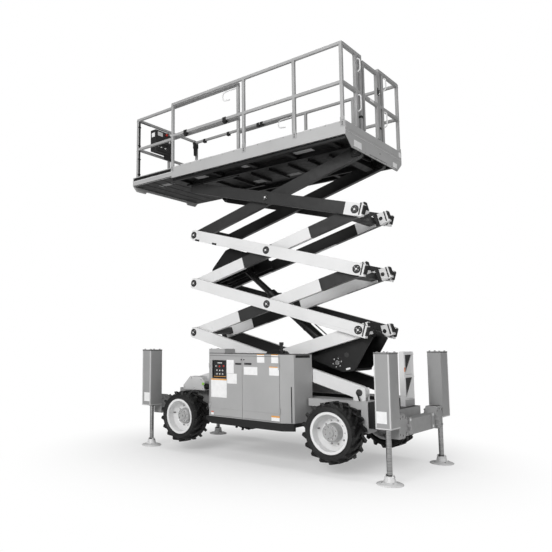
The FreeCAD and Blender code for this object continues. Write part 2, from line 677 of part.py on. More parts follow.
# Ladder at the rear
def ladder():
    x = -D.chassis_half_length
    stiles = [slab((x - 60, x), (y, y + 30), (D.ladder_foot, D.ladder_top)) for y in (-290, 70)]
    steps = [slab((x - 60, x - 10), (-290, 100), (z, z + 30)) for z in (D.ladder_foot, 1050, D.ladder_top - 30)]
    subpart("ladder", fuse(*stiles, *steps))


# Platform: main deck, guard rails, gate and roll-out deck
def main_deck():
    front, rear, half = D.deck_front, D.deck_rear, D.deck_half_width
    wall = D.toe_wall
    floor = slab((rear, front), (-half + wall, half - wall), (D.floor_height - D.floor_plate, D.floor_height))
    sides = [slab((rear, front), sorted((side * half, side * (half - wall))), (D.panel_bottom, D.toe_top))
             for side in (1, -1)]
    end = prism("YZ_Plane", ((-half, D.toe_top), (-half, D.panel_bottom),
                             (-half + D.end_plate_chamfer, D.end_plate_bottom),
                             (half - D.end_plate_chamfer, D.end_plate_bottom), (half, D.panel_bottom),
                             (half, D.toe_top)), "toe_wall", rear + wall / 2)
    top_pivot = D.base_pivot_height + LEVELS * RISE
    floor_under = D.floor_height - D.floor_plate
    tracks = []
    for side in (1, -1):
        roller_outer = D.arm_outer_face - D.arm_width
        low, high = sorted((side * (roller_outer - D.roller_width - 4), side * (roller_outer - 2)))
        tracks.append(slab((500, front), (low, high),
                           (top_pivot + D.top_roller_radius + D.seat_gap, floor_under)))
    inner_plates = ((INNER_INNER_FACE - D.plate_gap, -D.clevis_plate),
                    (INNER_OUTER_FACE + D.plate_gap, D.clevis_plate))
    clevis = clevis_plates(inner_plates, D.rear_pivot_x, 60, (top_pivot - 50, floor_under))
    bore = rod("pin_radius + running_gap", 900, (D.rear_pivot_x, -450, top_pivot), AXIS_Y)
    subpart("platform_deck", cut(fuse(floor, *sides, end, *tracks, *clevis), bore))


def rail(start, end):
    """A square tube along one axis, its end faces half a tube past the two points."""
    half = D.rail_tube
    return slab(*[(min(a, b) - half, max(a, b) + half) for a, b in zip(start, end)])


def post(x, y, base, top):
    """An upright square tube that stands on its base."""
    return rail((x, y, base + D.rail_tube), (x, y, top))


def rail_panel(y, xs, x_ends, base, top):
    """One side of a guard rail: two rails and its posts."""
    tubes = [rail((x_ends[0], y, z), (x_ends[1], y, z)) for z in (D.mid_rail_height, top)]
    return tubes + [post(x, y, base, top) for x in xs]


def guard_rails():
    rear = D.deck_rear + D.toe_wall + D.rail_tube
    front = D.deck_front - 19
    sides = []
    for side in (1, -1):
        y = side * (D.deck_half_width - D.toe_wall / 2)
        posts = (rear, -742, 41, front)
        sides.append(fuse(*rail_panel(y, posts, (rear, front), D.toe_top, D.top_rail_height)))
    subpart("side_rails", group(sides))
    rears = []
    hinge_x = rear + D.rail_tube + D.hinge_reach
    for span, posts in (((inset_gap(), 320), (320, 440)), ((-inset_gap(), -200), (-200, -300))):
        tubes = [rail((rear, span[0], z), (rear, span[1], z)) for z in (D.mid_rail_height, D.top_rail_height)]
        tubes += [post(rear, y, D.floor_height, D.top_rail_height) for y in posts]
        if posts[0] > 0:
            for z in GATE_HINGES:
                tubes.append(slab((rear + D.rail_tube - 1, hinge_x + 4), (GATE_AXIS, 325), (z, z + 30)))
                tubes.append(rod(10, 30, (hinge_x, GATE_AXIS, z)))
                tubes.append(rod("hinge_pin", 60, (hinge_x, GATE_AXIS, z)))
        rears.append(fuse(*tubes))
    subpart("rear_rails", group(rears))
    gate_top = D.top_rail_height - 50
    gate_foot = D.toe_top + 20
    gate = [rail((rear, -150, z), (rear, 250, z)) for z in (D.mid_rail_height, gate_top)]
    gate += [post(rear, y, gate_foot, gate_top) for y in (-150, 250)]
    knuckles_on_gate = []
    for z in GATE_HINGES:
        low = z + 30 + D.seat_gap
        ring = rod(10, 30, (hinge_x, GATE_AXIS, low))
        arm = slab((rear + D.rail_tube - 1, hinge_x + 4), (245, GATE_AXIS), (low, low + 30))
        bore = rod("hinge_pin + running_gap", 100, (hinge_x, GATE_AXIS, z))
        knuckles_on_gate.append(cut(fuse(ring, arm), bore))
    subpart("entry_gate", fuse(*gate, *knuckles_on_gate))


GATE_AXIS = 285
GATE_HINGES = (D.toe_top + 90, D.mid_rail_height + 180)


def inset_gap():
    """Where the rear rails end, just inside the side rails."""
    return D.deck_half_width - D.toe_wall / 2 - 2 * D.rail_tube - 0.3


def extension():
    front, rear, half = D.extension_front, D.extension_rear, D.extension_half_width
    wall = D.toe_wall
    floor = slab((rear, front), (-half, half), (D.extension_floor - D.extension_plate, D.extension_floor))
    skirts = [slab((rear, front), sorted((side * half, side * (half - wall))), (D.extension_floor - D.extension_plate, D.toe_top - 60))
              for side in (1, -1)]
    side_edge = D.deck_half_width - 10
    lip, notch, notch_side = 3850, D.extension_floor - 58, D.arm_outer_face + 45
    nose = prism("YZ_Plane", ((-side_edge, lip), (-notch_side - 30, lip), (-notch_side, notch), (notch_side, notch),
                              (notch_side + 30, lip), (side_edge, lip), (side_edge, D.toe_top),
                              (-side_edge, D.toe_top)), 20, front - 10)
    pads = [slab((rear + 20, rear + 560), sorted((side * 600, side * 690)),
                 (D.floor_height + D.seat_gap, D.extension_floor - D.extension_plate)) for side in (1, -1)]
    subpart("extension_deck", fuse(floor, *skirts, nose, *pads))
    y = half - 12 - D.rail_tube - 0.3
    top = D.top_rail_height - 46
    nose_x = front - 20 - D.rail_tube - 0.3
    tubes = []
    for side in (1, -1):
        tubes += rail_panel(side * y, (204, nose_x), (204, nose_x), D.extension_floor, top)
    tubes += [rail((nose_x, -y, z), (nose_x, y, z)) for z in (D.mid_rail_height, top)]
    tubes += [post(nose_x, 0, D.extension_floor, top)]
    subpart("extension_rails", fuse(*tubes))
    box_x = nose_x - D.rail_tube - 0.3
    subpart("platform_controls", fuse(slab((box_x - 120, box_x), (147, 450), (4556, 4907)),
                                      slab((box_x - 6, box_x), (-32, 147), (4500, 4938))))


wheels()
axles()
knuckles()
chassis()
scissor()
lift_cylinder()
pods()
pod_contents()
outriggers()
ladder()
main_deck()
guard_rails()
extension()
doc.recompute()

for thing in doc.Objects:
    if "Invalid" in thing.State or "Error" in thing.State:
        raise RuntimeError("%s (%s) failed: %s" % (thing.Label, thing.Name, thing.State))
for piece in PARTS:
    if piece.Shape.isNull() or not piece.Shape.isValid():
        raise RuntimeError("%s has no valid shape" % piece.Label)

os.makedirs("parts", exist_ok=True)
for piece in PARTS:
    piece.Shape.exportStep("parts/%s.step" % piece.Label)
print(len(PARTS), "pieces")
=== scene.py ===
import json
import math

import bmesh
import bpy
from mathutils import Matrix, Vector


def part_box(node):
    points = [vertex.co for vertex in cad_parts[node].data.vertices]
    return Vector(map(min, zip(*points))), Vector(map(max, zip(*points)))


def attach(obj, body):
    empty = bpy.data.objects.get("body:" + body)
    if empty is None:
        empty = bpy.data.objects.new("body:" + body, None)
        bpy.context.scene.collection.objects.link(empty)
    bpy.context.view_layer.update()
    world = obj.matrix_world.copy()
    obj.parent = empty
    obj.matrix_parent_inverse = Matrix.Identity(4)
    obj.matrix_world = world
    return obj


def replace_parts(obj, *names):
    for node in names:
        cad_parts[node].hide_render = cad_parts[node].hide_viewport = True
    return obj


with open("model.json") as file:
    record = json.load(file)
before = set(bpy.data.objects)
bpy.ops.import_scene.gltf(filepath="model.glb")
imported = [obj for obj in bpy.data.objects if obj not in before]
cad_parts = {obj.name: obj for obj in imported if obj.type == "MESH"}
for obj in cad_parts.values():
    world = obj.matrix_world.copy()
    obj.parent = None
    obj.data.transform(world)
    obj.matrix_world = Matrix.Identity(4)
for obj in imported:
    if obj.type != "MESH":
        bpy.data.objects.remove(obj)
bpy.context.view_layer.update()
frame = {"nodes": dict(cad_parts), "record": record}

# Places are written in millimetres from the middle of the wheelbase, as in the part's source
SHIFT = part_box("platform_deck")[0][0] * 1000 + 1425
LIFT_ANGLE = math.radians(15.6)
ARM = 2685.0
ARM_HALF = 77.5
REAR_PIN = -1330.0
FRONT_PIN = REAR_PIN + ARM * math.cos(LIFT_ANGLE)
RISE = ARM * math.sin(LIFT_ANGLE)
BASE_PIN = 905.0
OUTER_FACE = 428.0
INNER_FACE = 288.0
WHEELS = {"front": 1145.0, "rear": -1145.0}
AXLE_HEIGHT = 471.0
POD_FACE = 865.0
POD_INNER = 450.0
POD_REAR = -715.0
POD_FRONT = 590.0
POD_FOOT = 525.0
POD_TOP = 1341.0
FRAME_TOP = 815.0
JACKS = {"front": 1775.0, "rear": -1800.0}
JACK_SIDE = 760.0
LADDER_FRONT = -1613.0
FLOOR = 3905.0
DECK_REAR = -1425.0
DECK_FRONT = 1370.0
NOSE = 2246.0
ROLL_OUT_REAR = 150.0
ROLL_OUT_FLOOR = 3940.0
ROLL_OUT_HALF = 772.0
TOE_TOP = 4055.0
MID_RAIL = 4527.0
TOP_RAIL = 5010.0
SIDES = (1, -1)
SIDE_NAMES = (("left", 1), ("right", -1))


def place(x, y, z):
    """A place on the machine, in metres in the frame's axes."""
    return Vector(((x + SHIFT) / 1000, y / 1000, z / 1000))


# Camera
YAW, PITCH, ROLL = 0.736122, 0.1137485, 0.0027
ahead = Vector((math.sin(YAW) * math.cos(PITCH), -math.cos(YAW) * math.cos(PITCH), math.sin(PITCH)))
level_line = ahead.cross(Vector((0, 0, 1))).normalized()
above_line = level_line.cross(ahead)
right = math.cos(ROLL) * level_line + math.sin(ROLL) * above_line
up = math.cos(ROLL) * above_line - math.sin(ROLL) * level_line
lens = bpy.data.cameras.new("Camera")
lens.sensor_width = 36.0
lens.lens = 590.07 / 552 * 36.0
lens.shift_x = (276 - 190) / 552
camera = bpy.data.objects.new("Camera", lens)
bpy.context.scene.collection.objects.link(camera)
turn = Matrix((right, up, -ahead)).transposed().to_4x4()
camera.matrix_world = Matrix.Translation(place(-4527.8, 6897.2, 1466.5)) @ turn
bpy.context.scene.camera = camera


# Materials
def tone(level):
    """The linear value of a grey as it is seen in a photograph, from 0 to 255."""
    part = level / 255
    return part / 12.92 if part < 0.04 else ((part + 0.055) / 1.055) ** 2.4


def finish(name):
    """A new material with its shader, ready for its nodes."""
    material = bpy.data.materials.new(name)
    material.use_nodes = True
    tree = material.node_tree
    return material, tree, tree.nodes["Principled BSDF"]


def noise(tree, scale, detail=4.0, rough=0.55, stretch=None):
    """Noise over the object's own coordinates."""
    where = tree.nodes.new("ShaderNodeTexCoord")
    source = where.outputs["Object"]
    if stretch:
        mapping = tree.nodes.new("ShaderNodeMapping")
        mapping.inputs["Scale"].default_value = stretch
        tree.links.new(source, mapping.inputs["Vector"])
        source = mapping.outputs["Vector"]
    texture = tree.nodes.new("ShaderNodeTexNoise")
    texture.inputs["Scale"].default_value = scale
    texture.inputs["Detail"].default_value = detail
    texture.inputs["Roughness"].default_value = rough
    tree.links.new(source, texture.inputs["Vector"])
    return texture.outputs["Fac"]


def ramp(tree, source, low, high, dark, light):
    """A grey or colour that follows a value between two limits."""
    node = tree.nodes.new("ShaderNodeValToRGB")
    node.color_ramp.elements[0].position = low
    node.color_ramp.elements[0].color = (*dark, 1)
    node.color_ramp.elements[1].position = high
    node.color_ramp.elements[1].color = (*light, 1)
    tree.links.new(source, node.inputs["Fac"])
    return node.outputs["Color"]


def blend_colours(tree, amount, first, second):
    node = tree.nodes.new("ShaderNodeMix")
    node.data_type = "RGBA"
    tree.links.new(amount, node.inputs["Factor"])
    for socket, colour in ((node.inputs["A"], first), (node.inputs["B"], second)):
        if isinstance(colour, tuple):
            socket.default_value = (*colour, 1)
        else:
            tree.links.new(colour, socket)
    return node.outputs["Result"]


def times(tree, source, factor):
    node = tree.nodes.new("ShaderNodeMath")
    node.operation = "MULTIPLY"
    node.inputs[1].default_value = factor
    tree.links.new(source, node.inputs[0])
    return node.outputs["Value"]


def bump(tree, shader, source, strength, distance=0.001):
    node = tree.nodes.new("ShaderNodeBump")
    node.inputs["Strength"].default_value = strength
    node.inputs["Distance"].default_value = distance
    tree.links.new(source, node.inputs["Height"])
    tree.links.new(node.outputs["Normal"], shader.inputs["Normal"])


def paint(name, level, rough=0.4, wear=0.1, metallic=0.0, coat=0.0, tint=(1.0, 1.0, 1.0)):
    """Sprayed paint: cloudy tone, rubbed streaks that run down, dark specks, fine orange peel."""
    material, tree, shader = finish(name)
    colour = tuple(tone(level) * part for part in tint)
    worn = tuple(part * (1 - wear) for part in colour)
    rubbed = tuple(part * (1 - 1.8 * wear) for part in colour)
    cloudy = ramp(tree, noise(tree, 2.3, 5.0), 0.35, 0.62, worn, colour)
    streaks = ramp(tree, noise(tree, 9.0, 6.0, 0.7, (1.0, 1.0, 0.2)), 0.56, 0.8, (0, 0, 0), (1, 1, 1))
    toned = blend_colours(tree, times(tree, streaks, 0.4), cloudy, rubbed)
    specks = ramp(tree, noise(tree, 55.0, 3.0, 0.6), 0.66, 0.72, (0, 0, 0), (1, 1, 1))
    toned = blend_colours(tree, times(tree, specks, 0.3), toned, tuple(part * 0.72 for part in colour))
    tree.links.new(toned, shader.inputs["Base Color"])
    gloss = ramp(tree, noise(tree, 14.0, 6.0), 0.3, 0.75, (rough * 0.82,) * 3, (min(1, rough * 1.3),) * 3)
    tree.links.new(gloss, shader.inputs["Roughness"])
    shader.inputs["Metallic"].default_value = metallic
    shader.inputs["Coat Weight"].default_value = coat
    bump(tree, shader, noise(tree, 420.0, 2.0), 0.06, 0.0006)
    return material


def rubber_finish(name, dark=0.003, light=0.011):
    """Moulded rubber: dusty grey film over black, with fine grain."""
    material, tree, shader = finish(name)
    film = ramp(tree, noise(tree, 7.0, 8.0, 0.7), 0.42, 0.8, (dark,) * 3, (light, light * 0.98, light * 0.95))
    tree.links.new(film, shader.inputs["Base Color"])
    gloss = ramp(tree, noise(tree, 22.0, 5.0), 0.3, 0.7, (0.42,) * 3, (0.7,) * 3)
    tree.links.new(gloss, shader.inputs["Roughness"])
    bump(tree, shader, noise(tree, 260.0, 4.0), 0.25, 0.0012)
    return material


def chrome_finish(name, dark=0.2, light=0.5):
    """Hard chrome or bright zinc: faint rings left by polishing."""
    material, tree, shader = finish(name)
    rings = noise(tree, 3.0, 5.0, 0.6, (1.0, 1.0, 60.0))
    tree.links.new(ramp(tree, rings, 0.3, 0.7, (dark,) * 3, (light,) * 3), shader.inputs["Base Color"])
    tree.links.new(ramp(tree, rings, 0.3, 0.7, (0.12,) * 3, (0.24,) * 3), shader.inputs["Roughness"])
    shader.inputs["Metallic"].default_value = 1.0
    bump(tree, shader, rings, 0.04, 0.0004)
    return material


def plastic_finish(name, colour, rough=0.45):
    """Moulded plastic with a leathery grain."""
    material, tree, shader = finish(name)
    toned = ramp(tree, noise(tree, 11.0, 4.0), 0.35, 0.7, tuple(c * 0.8 for c in colour), colour)
    tree.links.new(toned, shader.inputs["Base Color"])
    tree.links.new(ramp(tree, noise(tree, 30.0), 0.3, 0.7, (rough * 0.85,) * 3, (rough * 1.2,) * 3),
                   shader.inputs["Roughness"])
    bump(tree, shader, noise(tree, 700.0, 3.0), 0.2, 0.0005)
    return material


def film_finish(name, colour):
    """Thin printed film: slightly mottled, with tiny wrinkles."""
    material, tree, shader = finish(name)
    toned = ramp(tree, noise(tree, 18.0, 5.0), 0.3, 0.7, tuple(c * 0.9 for c in colour), colour)
    tree.links.new(toned, shader.inputs["Base Color"])
    shader.inputs["Roughness"].default_value = 0.4
    bump(tree, shader, noise(tree, 90.0, 3.0), 0.08, 0.0005)
    return material


MATERIALS = {
    "tyre_rubber": rubber_finish("tyre rubber"),
    "rim_paint": paint("rim paint", 232, 0.3, 0.08, coat=0.3),
    "chrome_rod": chrome_finish("chrome rod"),
    "foot_paint": paint("foot paint", 222, 0.35, 0.12),
    "arm_paint": paint("arm paint", 228, 0.32, 0.06, coat=0.2),
    # black for the black parts, and also painted shade under the deck and the frame, between the arms, in the ladder's
    # openings and in the roll-out's slot
    "black_paint": paint("black paint and painted shade", 14, 0.42, 0.25),
    "dark_rod": paint("cylinder rod", 62, 0.2, 0.1, metallic=0.8),
    "control_plastic": plastic_finish("control plastic", (0.02, 0.02, 0.021)),
    "ladder_paint": paint("ladder paint", 228, 0.4, 0.1),
    "rail_paint": paint("rail paint", 165, 0.35, 0.12),
    "grey_paint": paint("grey paint", 166, 0.42, 0.08),
    "housing_paint": paint("housing paint", 154, 0.42, 0.09),
    "beam_paint": paint("beam paint", 156, 0.45, 0.14),
    "panel_paint": paint("deck panel paint", 176, 0.4, 0.07),
    # pale grey; its strips down the outrigger housings' corners are painted highlight
    "pale_paint_and_highlight": paint("pale paint and painted highlight", 205, 0.38, 0.09),
    # dark grey for the pin bosses, and for painted shade on the arms under the deck and under the arms above
    "dark_paint_and_shade": paint("dark arm paint and painted shade", 52, 0.35, 0.16, coat=0.2),
    "hub_paint": paint("hub paint", 170, 0.4, 0.16),
    "label_white": film_finish("white film", (0.86, 0.86, 0.86)),
    "label_orange": film_finish("orange film", (0.75, 0.36, 0.08)),
    "label_red": film_finish("red film", (0.6, 0.16, 0.1)),
    "seal_rubber": rubber_finish("seal rubber", 0.005, 0.012),
    "bolt_zinc": chrome_finish("bolt zinc", 0.4, 0.58),
    "red_button": plastic_finish("red button", (0.5, 0.03, 0.02), 0.3),
    "white_button": plastic_finish("white button", (0.7, 0.7, 0.69), 0.35),
    "orange_lens": plastic_finish("orange lens", (0.72, 0.2, 0.04), 0.2),
    "green_cap": plastic_finish("filler cap", (0.3, 0.62, 0.1), 0.35),
    "hose_rubber": rubber_finish("hose rubber", 0.006, 0.014),
}
SLOT_OF = {sub["node"]: sub["material_slot"] for sub in frame["record"]["subparts"]}
BODY_OF = {node: body for body, nodes in frame["record"]["behaviour"]["bodies"].items() for node in nodes}


def in_machine(vector):
    """A place in the frame's axes, in metres, as millimetres from the middle of the wheelbase."""
    return vector.x * 1000 - SHIFT, vector.y * 1000, vector.z * 1000


def softened(node, width=0.004, angle=28, finishes=None, choose=None, cuts=(), ends=()):
    """The node's own form with its edges broken, and with its paint's limits cut in."""
    mesh = frame["nodes"][node].data.copy()
    form = bmesh.new()
    form.from_mesh(mesh)
    bmesh.ops.remove_doubles(form, verts=form.verts, dist=0.00002)
    bmesh.ops.dissolve_limit(form, angle_limit=math.radians(0.4), verts=form.verts, edges=form.edges)
    for point, across, near, far in ends:
        # square off what stands past a plane, between two distances from the middle plane
        inside = [vert for vert in form.verts if near - 0.5 < abs(vert.co.y) * 1000 < far + 0.5]
        kept = set(inside)
        faces = [face for face in form.faces if all(vert in kept for vert in face.verts)]
        edges = {edge for face in faces for edge in face.edges}
        verts = {vert for face in faces for vert in face.verts}
        made = bmesh.ops.bisect_plane(form, geom=list(verts) + list(edges) + faces, dist=0.00001,
                                      plane_co=place(*point), plane_no=across, clear_outer=True)
        open_edges = [item for item in made["geom_cut"] if isinstance(item, bmesh.types.BMEdge)]
        bmesh.ops.edgenet_fill(form, edges=open_edges)
    bmesh.ops.recalc_face_normals(form, faces=form.faces)
    for point, across in cuts:
        everything = form.verts[:] + form.edges[:] + form.faces[:]
        bmesh.ops.bisect_plane(form, geom=everything, dist=0.00001, plane_co=place(*point), plane_no=across)
    finishes = finishes or [SLOT_OF[node]]
    if choose:
        for face in form.faces:
            name = choose(*in_machine(face.calc_center_median()), face.normal)
            if name not in finishes:
                finishes.append(name)
            face.material_index = finishes.index(name)
    mesh.materials.clear()
    for name in finishes:
        mesh.materials.append(MATERIALS[name])
    form.to_mesh(mesh)
    form.free()
    piece = bpy.data.objects.new(node + ".finished", mesh)
    bpy.context.scene.collection.objects.link(piece)
    for face in mesh.polygons:
        face.use_smooth = True
        if not choose:
            face.material_index = 0
    mesh.set_sharp_from_angle(angle=math.radians(angle))
    edges = piece.modifiers.new("Edges", "BEVEL")
    edges.width = width
    edges.segments = 2
    edges.limit_method = "ANGLE"
    edges.angle_limit = math.radians(angle)
    edges.harden_normals = True
    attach(piece, BODY_OF[node])
    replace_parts(piece, node)
    return piece


# Building forms
def rounded(points, reach, steps=5):
    """A path with its corners rounded."""
    path = [Vector(points[0])]
    for before, corner, after in zip(points, points[1:], points[2:]):
        before, corner, after = Vector(before), Vector(corner), Vector(after)
        run = min(reach, (before - corner).length / 2, (after - corner).length / 2)
        start = corner + (before - corner).normalized() * run
        end = corner + (after - corner).normalized() * run
        for step in range(steps + 1):
            t = step / steps
            path.append((1 - t) ** 2 * start + 2 * t * (1 - t) * corner + t * t * end)
    path.append(Vector(points[-1]))
    return path


class Form:
    """A mesh built up from plates, blocks, bars and pipes, in the machine's axes or in those of an arm."""

    def __init__(self, *finishes, at=None):
        self.mesh = bmesh.new()
        self.finishes = list(finishes)
        self.finish = 0
        self.at = at or (lambda x, y, z: (x, y, z))

    def use(self, name):
        """Give what comes next another finish."""
        if name not in self.finishes:
            self.finishes.append(name)
        self.finish = self.finishes.index(name)
        return self

    def skin(self, rings):
        """A closed skin over rings of points, all with the same number of points."""
        made = [[self.mesh.verts.new(place(*self.at(*point))) for point in ring] for ring in rings]
        count = len(made[0])
        faces = []
        for near, far in zip(made, made[1:]):
            for i in range(count):
                j = (i + 1) % count
                faces.append(self.mesh.faces.new((near[i], near[j], far[j], far[i])))
        faces.append(self.mesh.faces.new(made[0][::-1]))
        faces.append(self.mesh.faces.new(made[-1]))
        for face in faces:
            face.material_index = self.finish
        return self

    def block(self, x, y, z):
        (x0, x1), (y0, y1), (z0, z1) = sorted(x), sorted(y), sorted(z)
        ring = ((x0, y0), (x1, y0), (x1, y1), (x0, y1))
        return self.skin([[(*corner, height) for corner in ring] for height in (z0, z1)])

    def plate(self, axis, outline, low, high):
        """A flat plate across one axis; its outline is in the other two, in their order."""
        lay = {"x": lambda a, b, d: (d, a, b), "y": lambda a, b, d: (a, d, b), "z": lambda a, b, d: (a, b, d)}[axis]
        return self.skin([[lay(a, b, depth) for a, b in outline] for depth in (low, high)])

    def turned(self, foot, axis, profile, sides=24):
        """A round form: (height, radius) steps along an axis from its foot."""
        foot, axis = Vector(foot), Vector(axis).normalized()
        first = axis.orthogonal().normalized()
        second = axis.cross(first)
        rings = []
        for height, radius in profile:
            middle = foot + axis * height
            rings.append([middle + radius * (math.cos(a) * first + math.sin(a) * second)
                          for a in (2 * math.pi * i / sides for i in range(sides))])
        return self.skin(rings)

    def bar(self, start, end, radius, sides=20):
        start, end = Vector(start), Vector(end)
        return self.turned(start, end - start, ((0, radius), ((end - start).length, radius)), sides)

    def boss(self, foot, axis, radius, height, edge=2.0, sides=24):
        """A short round boss with a broken edge."""
        return self.turned(foot, axis, ((0, radius), (height - edge, radius), (height, radius - edge)), sides)

    def pipe(self, points, radius, reach=40, sides=10):
        """A bent tube along a path with rounded corners."""
        path = rounded(points, reach) if len(points) > 2 else [Vector(p) for p in points]
        heading = (path[1] - path[0]).normalized()
        first = heading.orthogonal().normalized()
        rings = []
        for i, spot in enumerate(path):
            before = path[max(i - 1, 0)]
            after = path[min(i + 1, len(path) - 1)]
            heading = (after - before).normalized()
            first = (first - heading * first.dot(heading)).normalized()
            second = heading.cross(first)
            rings.append([spot + radius * (math.cos(a) * first + math.sin(a) * second)
                          for a in (2 * math.pi * k / sides for k in range(sides))])
        return self.skin(rings)

    def ring(self, middle, axis, radius, thickness, turns=28, sides=8):
        """A round ring about an axis."""
        middle, axis = Vector(middle), Vector(axis).normalized()
        first = axis.orthogonal().normalized()
        second = axis.cross(first)
        made = []
        for i in range(turns):
            out = math.cos(2 * math.pi * i / turns) * first + math.sin(2 * math.pi * i / turns) * second
            made.append([self.mesh.verts.new(place(*self.at(*(middle + out * (radius + thickness * math.cos(a))
                                                              + axis * thickness * math.sin(a)))))
                         for a in (2 * math.pi * k / sides for k in range(sides))])
        for i in range(turns):
            near, far = made[i], made[(i + 1) % turns]
            for k in range(sides):
                j = (k + 1) % sides
                face = self.mesh.faces.new((near[k], near[j], far[j], far[k]))
                face.material_index = self.finish
        return self

    def piece(self, name, body, slot, edge=0.0, angle=32):
        """Close the form as one piece that rides on a body."""
        bmesh.ops.recalc_face_normals(self.mesh, faces=self.mesh.faces)
        mesh = bpy.data.meshes.new(name)
        self.mesh.to_mesh(mesh)
        self.mesh.free()
        for finish_name in self.finishes:
            mesh.materials.append(MATERIALS[finish_name])
        for face in mesh.polygons:
            face.use_smooth = True
        mesh.set_sharp_from_angle(angle=math.radians(angle))
        thing = bpy.data.objects.new(name, mesh)
        bpy.context.scene.collection.objects.link(thing)
        if edge:
            edges = thing.modifiers.new("Edges", "BEVEL")
            edges.width = edge / 1000
            edges.segments = 2
            edges.limit_method = "ANGLE"
            edges.angle_limit = math.radians(angle)
            edges.harden_normals = True
        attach(thing, body)
        return thing


# What repeats: trees of geometry nodes
def new_tree(name, sizes):
    """A tree with named sizes and a finish, and the nodes at its two ends."""
    tree = bpy.data.node_groups.new(name, "GeometryNodeTree")
    tree.interface.new_socket("Geometry", in_out="INPUT", socket_type="NodeSocketGeometry")
    sockets = {}
    for label, value in sizes.items():
        kind = "NodeSocketInt" if isinstance(value, int) else "NodeSocketFloat"
        sockets[label] = tree.interface.new_socket(label, in_out="INPUT", socket_type=kind)
        sockets[label].default_value = value
    sockets["Finish"] = tree.interface.new_socket("Finish", in_out="INPUT", socket_type="NodeSocketMaterial")
    tree.interface.new_socket("Geometry", in_out="OUTPUT", socket_type="NodeSocketGeometry")
    return tree, sockets, tree.nodes.new("NodeGroupInput"), tree.nodes.new("NodeGroupOutput")


def node_of(tree, kind, **links):
    """A node with its inputs linked or set; a double underscore stands for a space."""
    node = tree.nodes.new(kind)
    for label, value in links.items():
        socket = node.inputs[label.replace("__", " ")]
        if isinstance(value, bpy.types.NodeSocket):
            tree.links.new(value, socket)
        else:
            socket.default_value = value
    return node


def sum_of(tree, operation, first, second):
    node = tree.nodes.new("ShaderNodeMath")
    node.operation = operation
    for socket, value in zip(node.inputs, (first, second)):
        if isinstance(value, bpy.types.NodeSocket):
            tree.links.new(value, socket)
        else:
            socket.default_value = value
    return node.outputs["Value"]


def along_z(tree, height):
    node = tree.nodes.new("ShaderNodeCombineXYZ")
    tree.links.new(height, node.inputs["Z"])
    return node.outputs["Vector"]


def end_tree(tree, source, group_in, group_out):
    """Instances made real and given their finish."""
    real = node_of(tree, "GeometryNodeRealizeInstances", Geometry=source)
    finished = node_of(tree, "GeometryNodeSetMaterial", Geometry=real.outputs["Geometry"],
                       Material=group_in.outputs["Finish"])
    tree.links.new(finished.outputs["Geometry"], group_out.inputs["Geometry"])
    return tree


def bolt_tree():
    """A hexagon head on a washer at every point, standing along the point's facing."""
    sizes = {"Head radius": 0.01, "Head height": 0.008, "Washer radius": 0.015, "Washer height": 0.002, "Sides": 6}
    tree, sockets, group_in, group_out = new_tree("bolt heads", sizes)
    given = group_in.outputs
    head = node_of(tree, "GeometryNodeMeshCylinder", Vertices=given["Sides"], Radius=given["Head radius"],
                   Depth=given["Head height"])
    middle = sum_of(tree, "ADD", given["Washer height"], sum_of(tree, "MULTIPLY", given["Head height"], 0.5))
    head_up = node_of(tree, "GeometryNodeTransform", Geometry=head.outputs["Mesh"],
                      Translation=along_z(tree, middle))
    washer = node_of(tree, "GeometryNodeMeshCylinder", Vertices=14, Radius=given["Washer radius"],
                     Depth=given["Washer height"])
    half = sum_of(tree, "MULTIPLY", given["Washer height"], 0.5)
    washer_up = node_of(tree, "GeometryNodeTransform", Geometry=washer.outputs["Mesh"],
                        Translation=along_z(tree, half))
    join = tree.nodes.new("GeometryNodeJoinGeometry")
    for part in (head_up, washer_up):
        tree.links.new(part.outputs["Geometry"], join.inputs["Geometry"])
    facing = tree.nodes.new("GeometryNodeInputNamedAttribute")
    facing.data_type = "FLOAT_VECTOR"
    facing.inputs["Name"].default_value = "facing"
    aim = tree.nodes.new("FunctionNodeAlignRotationToVector")
    aim.axis = "Z"
    tree.links.new(facing.outputs["Attribute"], aim.inputs["Vector"])
    spread = node_of(tree, "GeometryNodeInstanceOnPoints", Points=given["Geometry"],
                     Instance=join.outputs["Geometry"], Rotation=aim.outputs["Rotation"])
    return end_tree(tree, spread.outputs["Instances"], group_in, group_out), sockets


def tread_tree():
    """Low diamond studs over every point, turned one way and the other by the point's own lean."""
    sizes = {"Stud radius": 0.016, "Stud height": 0.0018, "Stud width": 0.36}
    tree, sockets, group_in, group_out = new_tree("tread studs", sizes)
    given = group_in.outputs
    stud = node_of(tree, "GeometryNodeMeshCone", Vertices=4, Radius__Bottom=given["Stud radius"],
                   Radius__Top=sum_of(tree, "MULTIPLY", given["Stud radius"], 0.6), Depth=given["Stud height"])
    narrow = tree.nodes.new("ShaderNodeCombineXYZ")
    narrow.inputs["X"].default_value = 1.0
    narrow.inputs["Z"].default_value = 1.0
    tree.links.new(given["Stud width"], narrow.inputs["Y"])
    slim = node_of(tree, "GeometryNodeTransform", Geometry=stud.outputs["Mesh"], Scale=narrow.outputs["Vector"])
    lean = tree.nodes.new("GeometryNodeInputNamedAttribute")
    lean.data_type = "FLOAT"
    lean.inputs["Name"].default_value = "lean"
    spread = node_of(tree, "GeometryNodeInstanceOnPoints", Points=given["Geometry"],
                     Instance=slim.outputs["Geometry"], Rotation=along_z(tree, lean.outputs["Attribute"]))
    return end_tree(tree, spread.outputs["Instances"], group_in, group_out), sockets


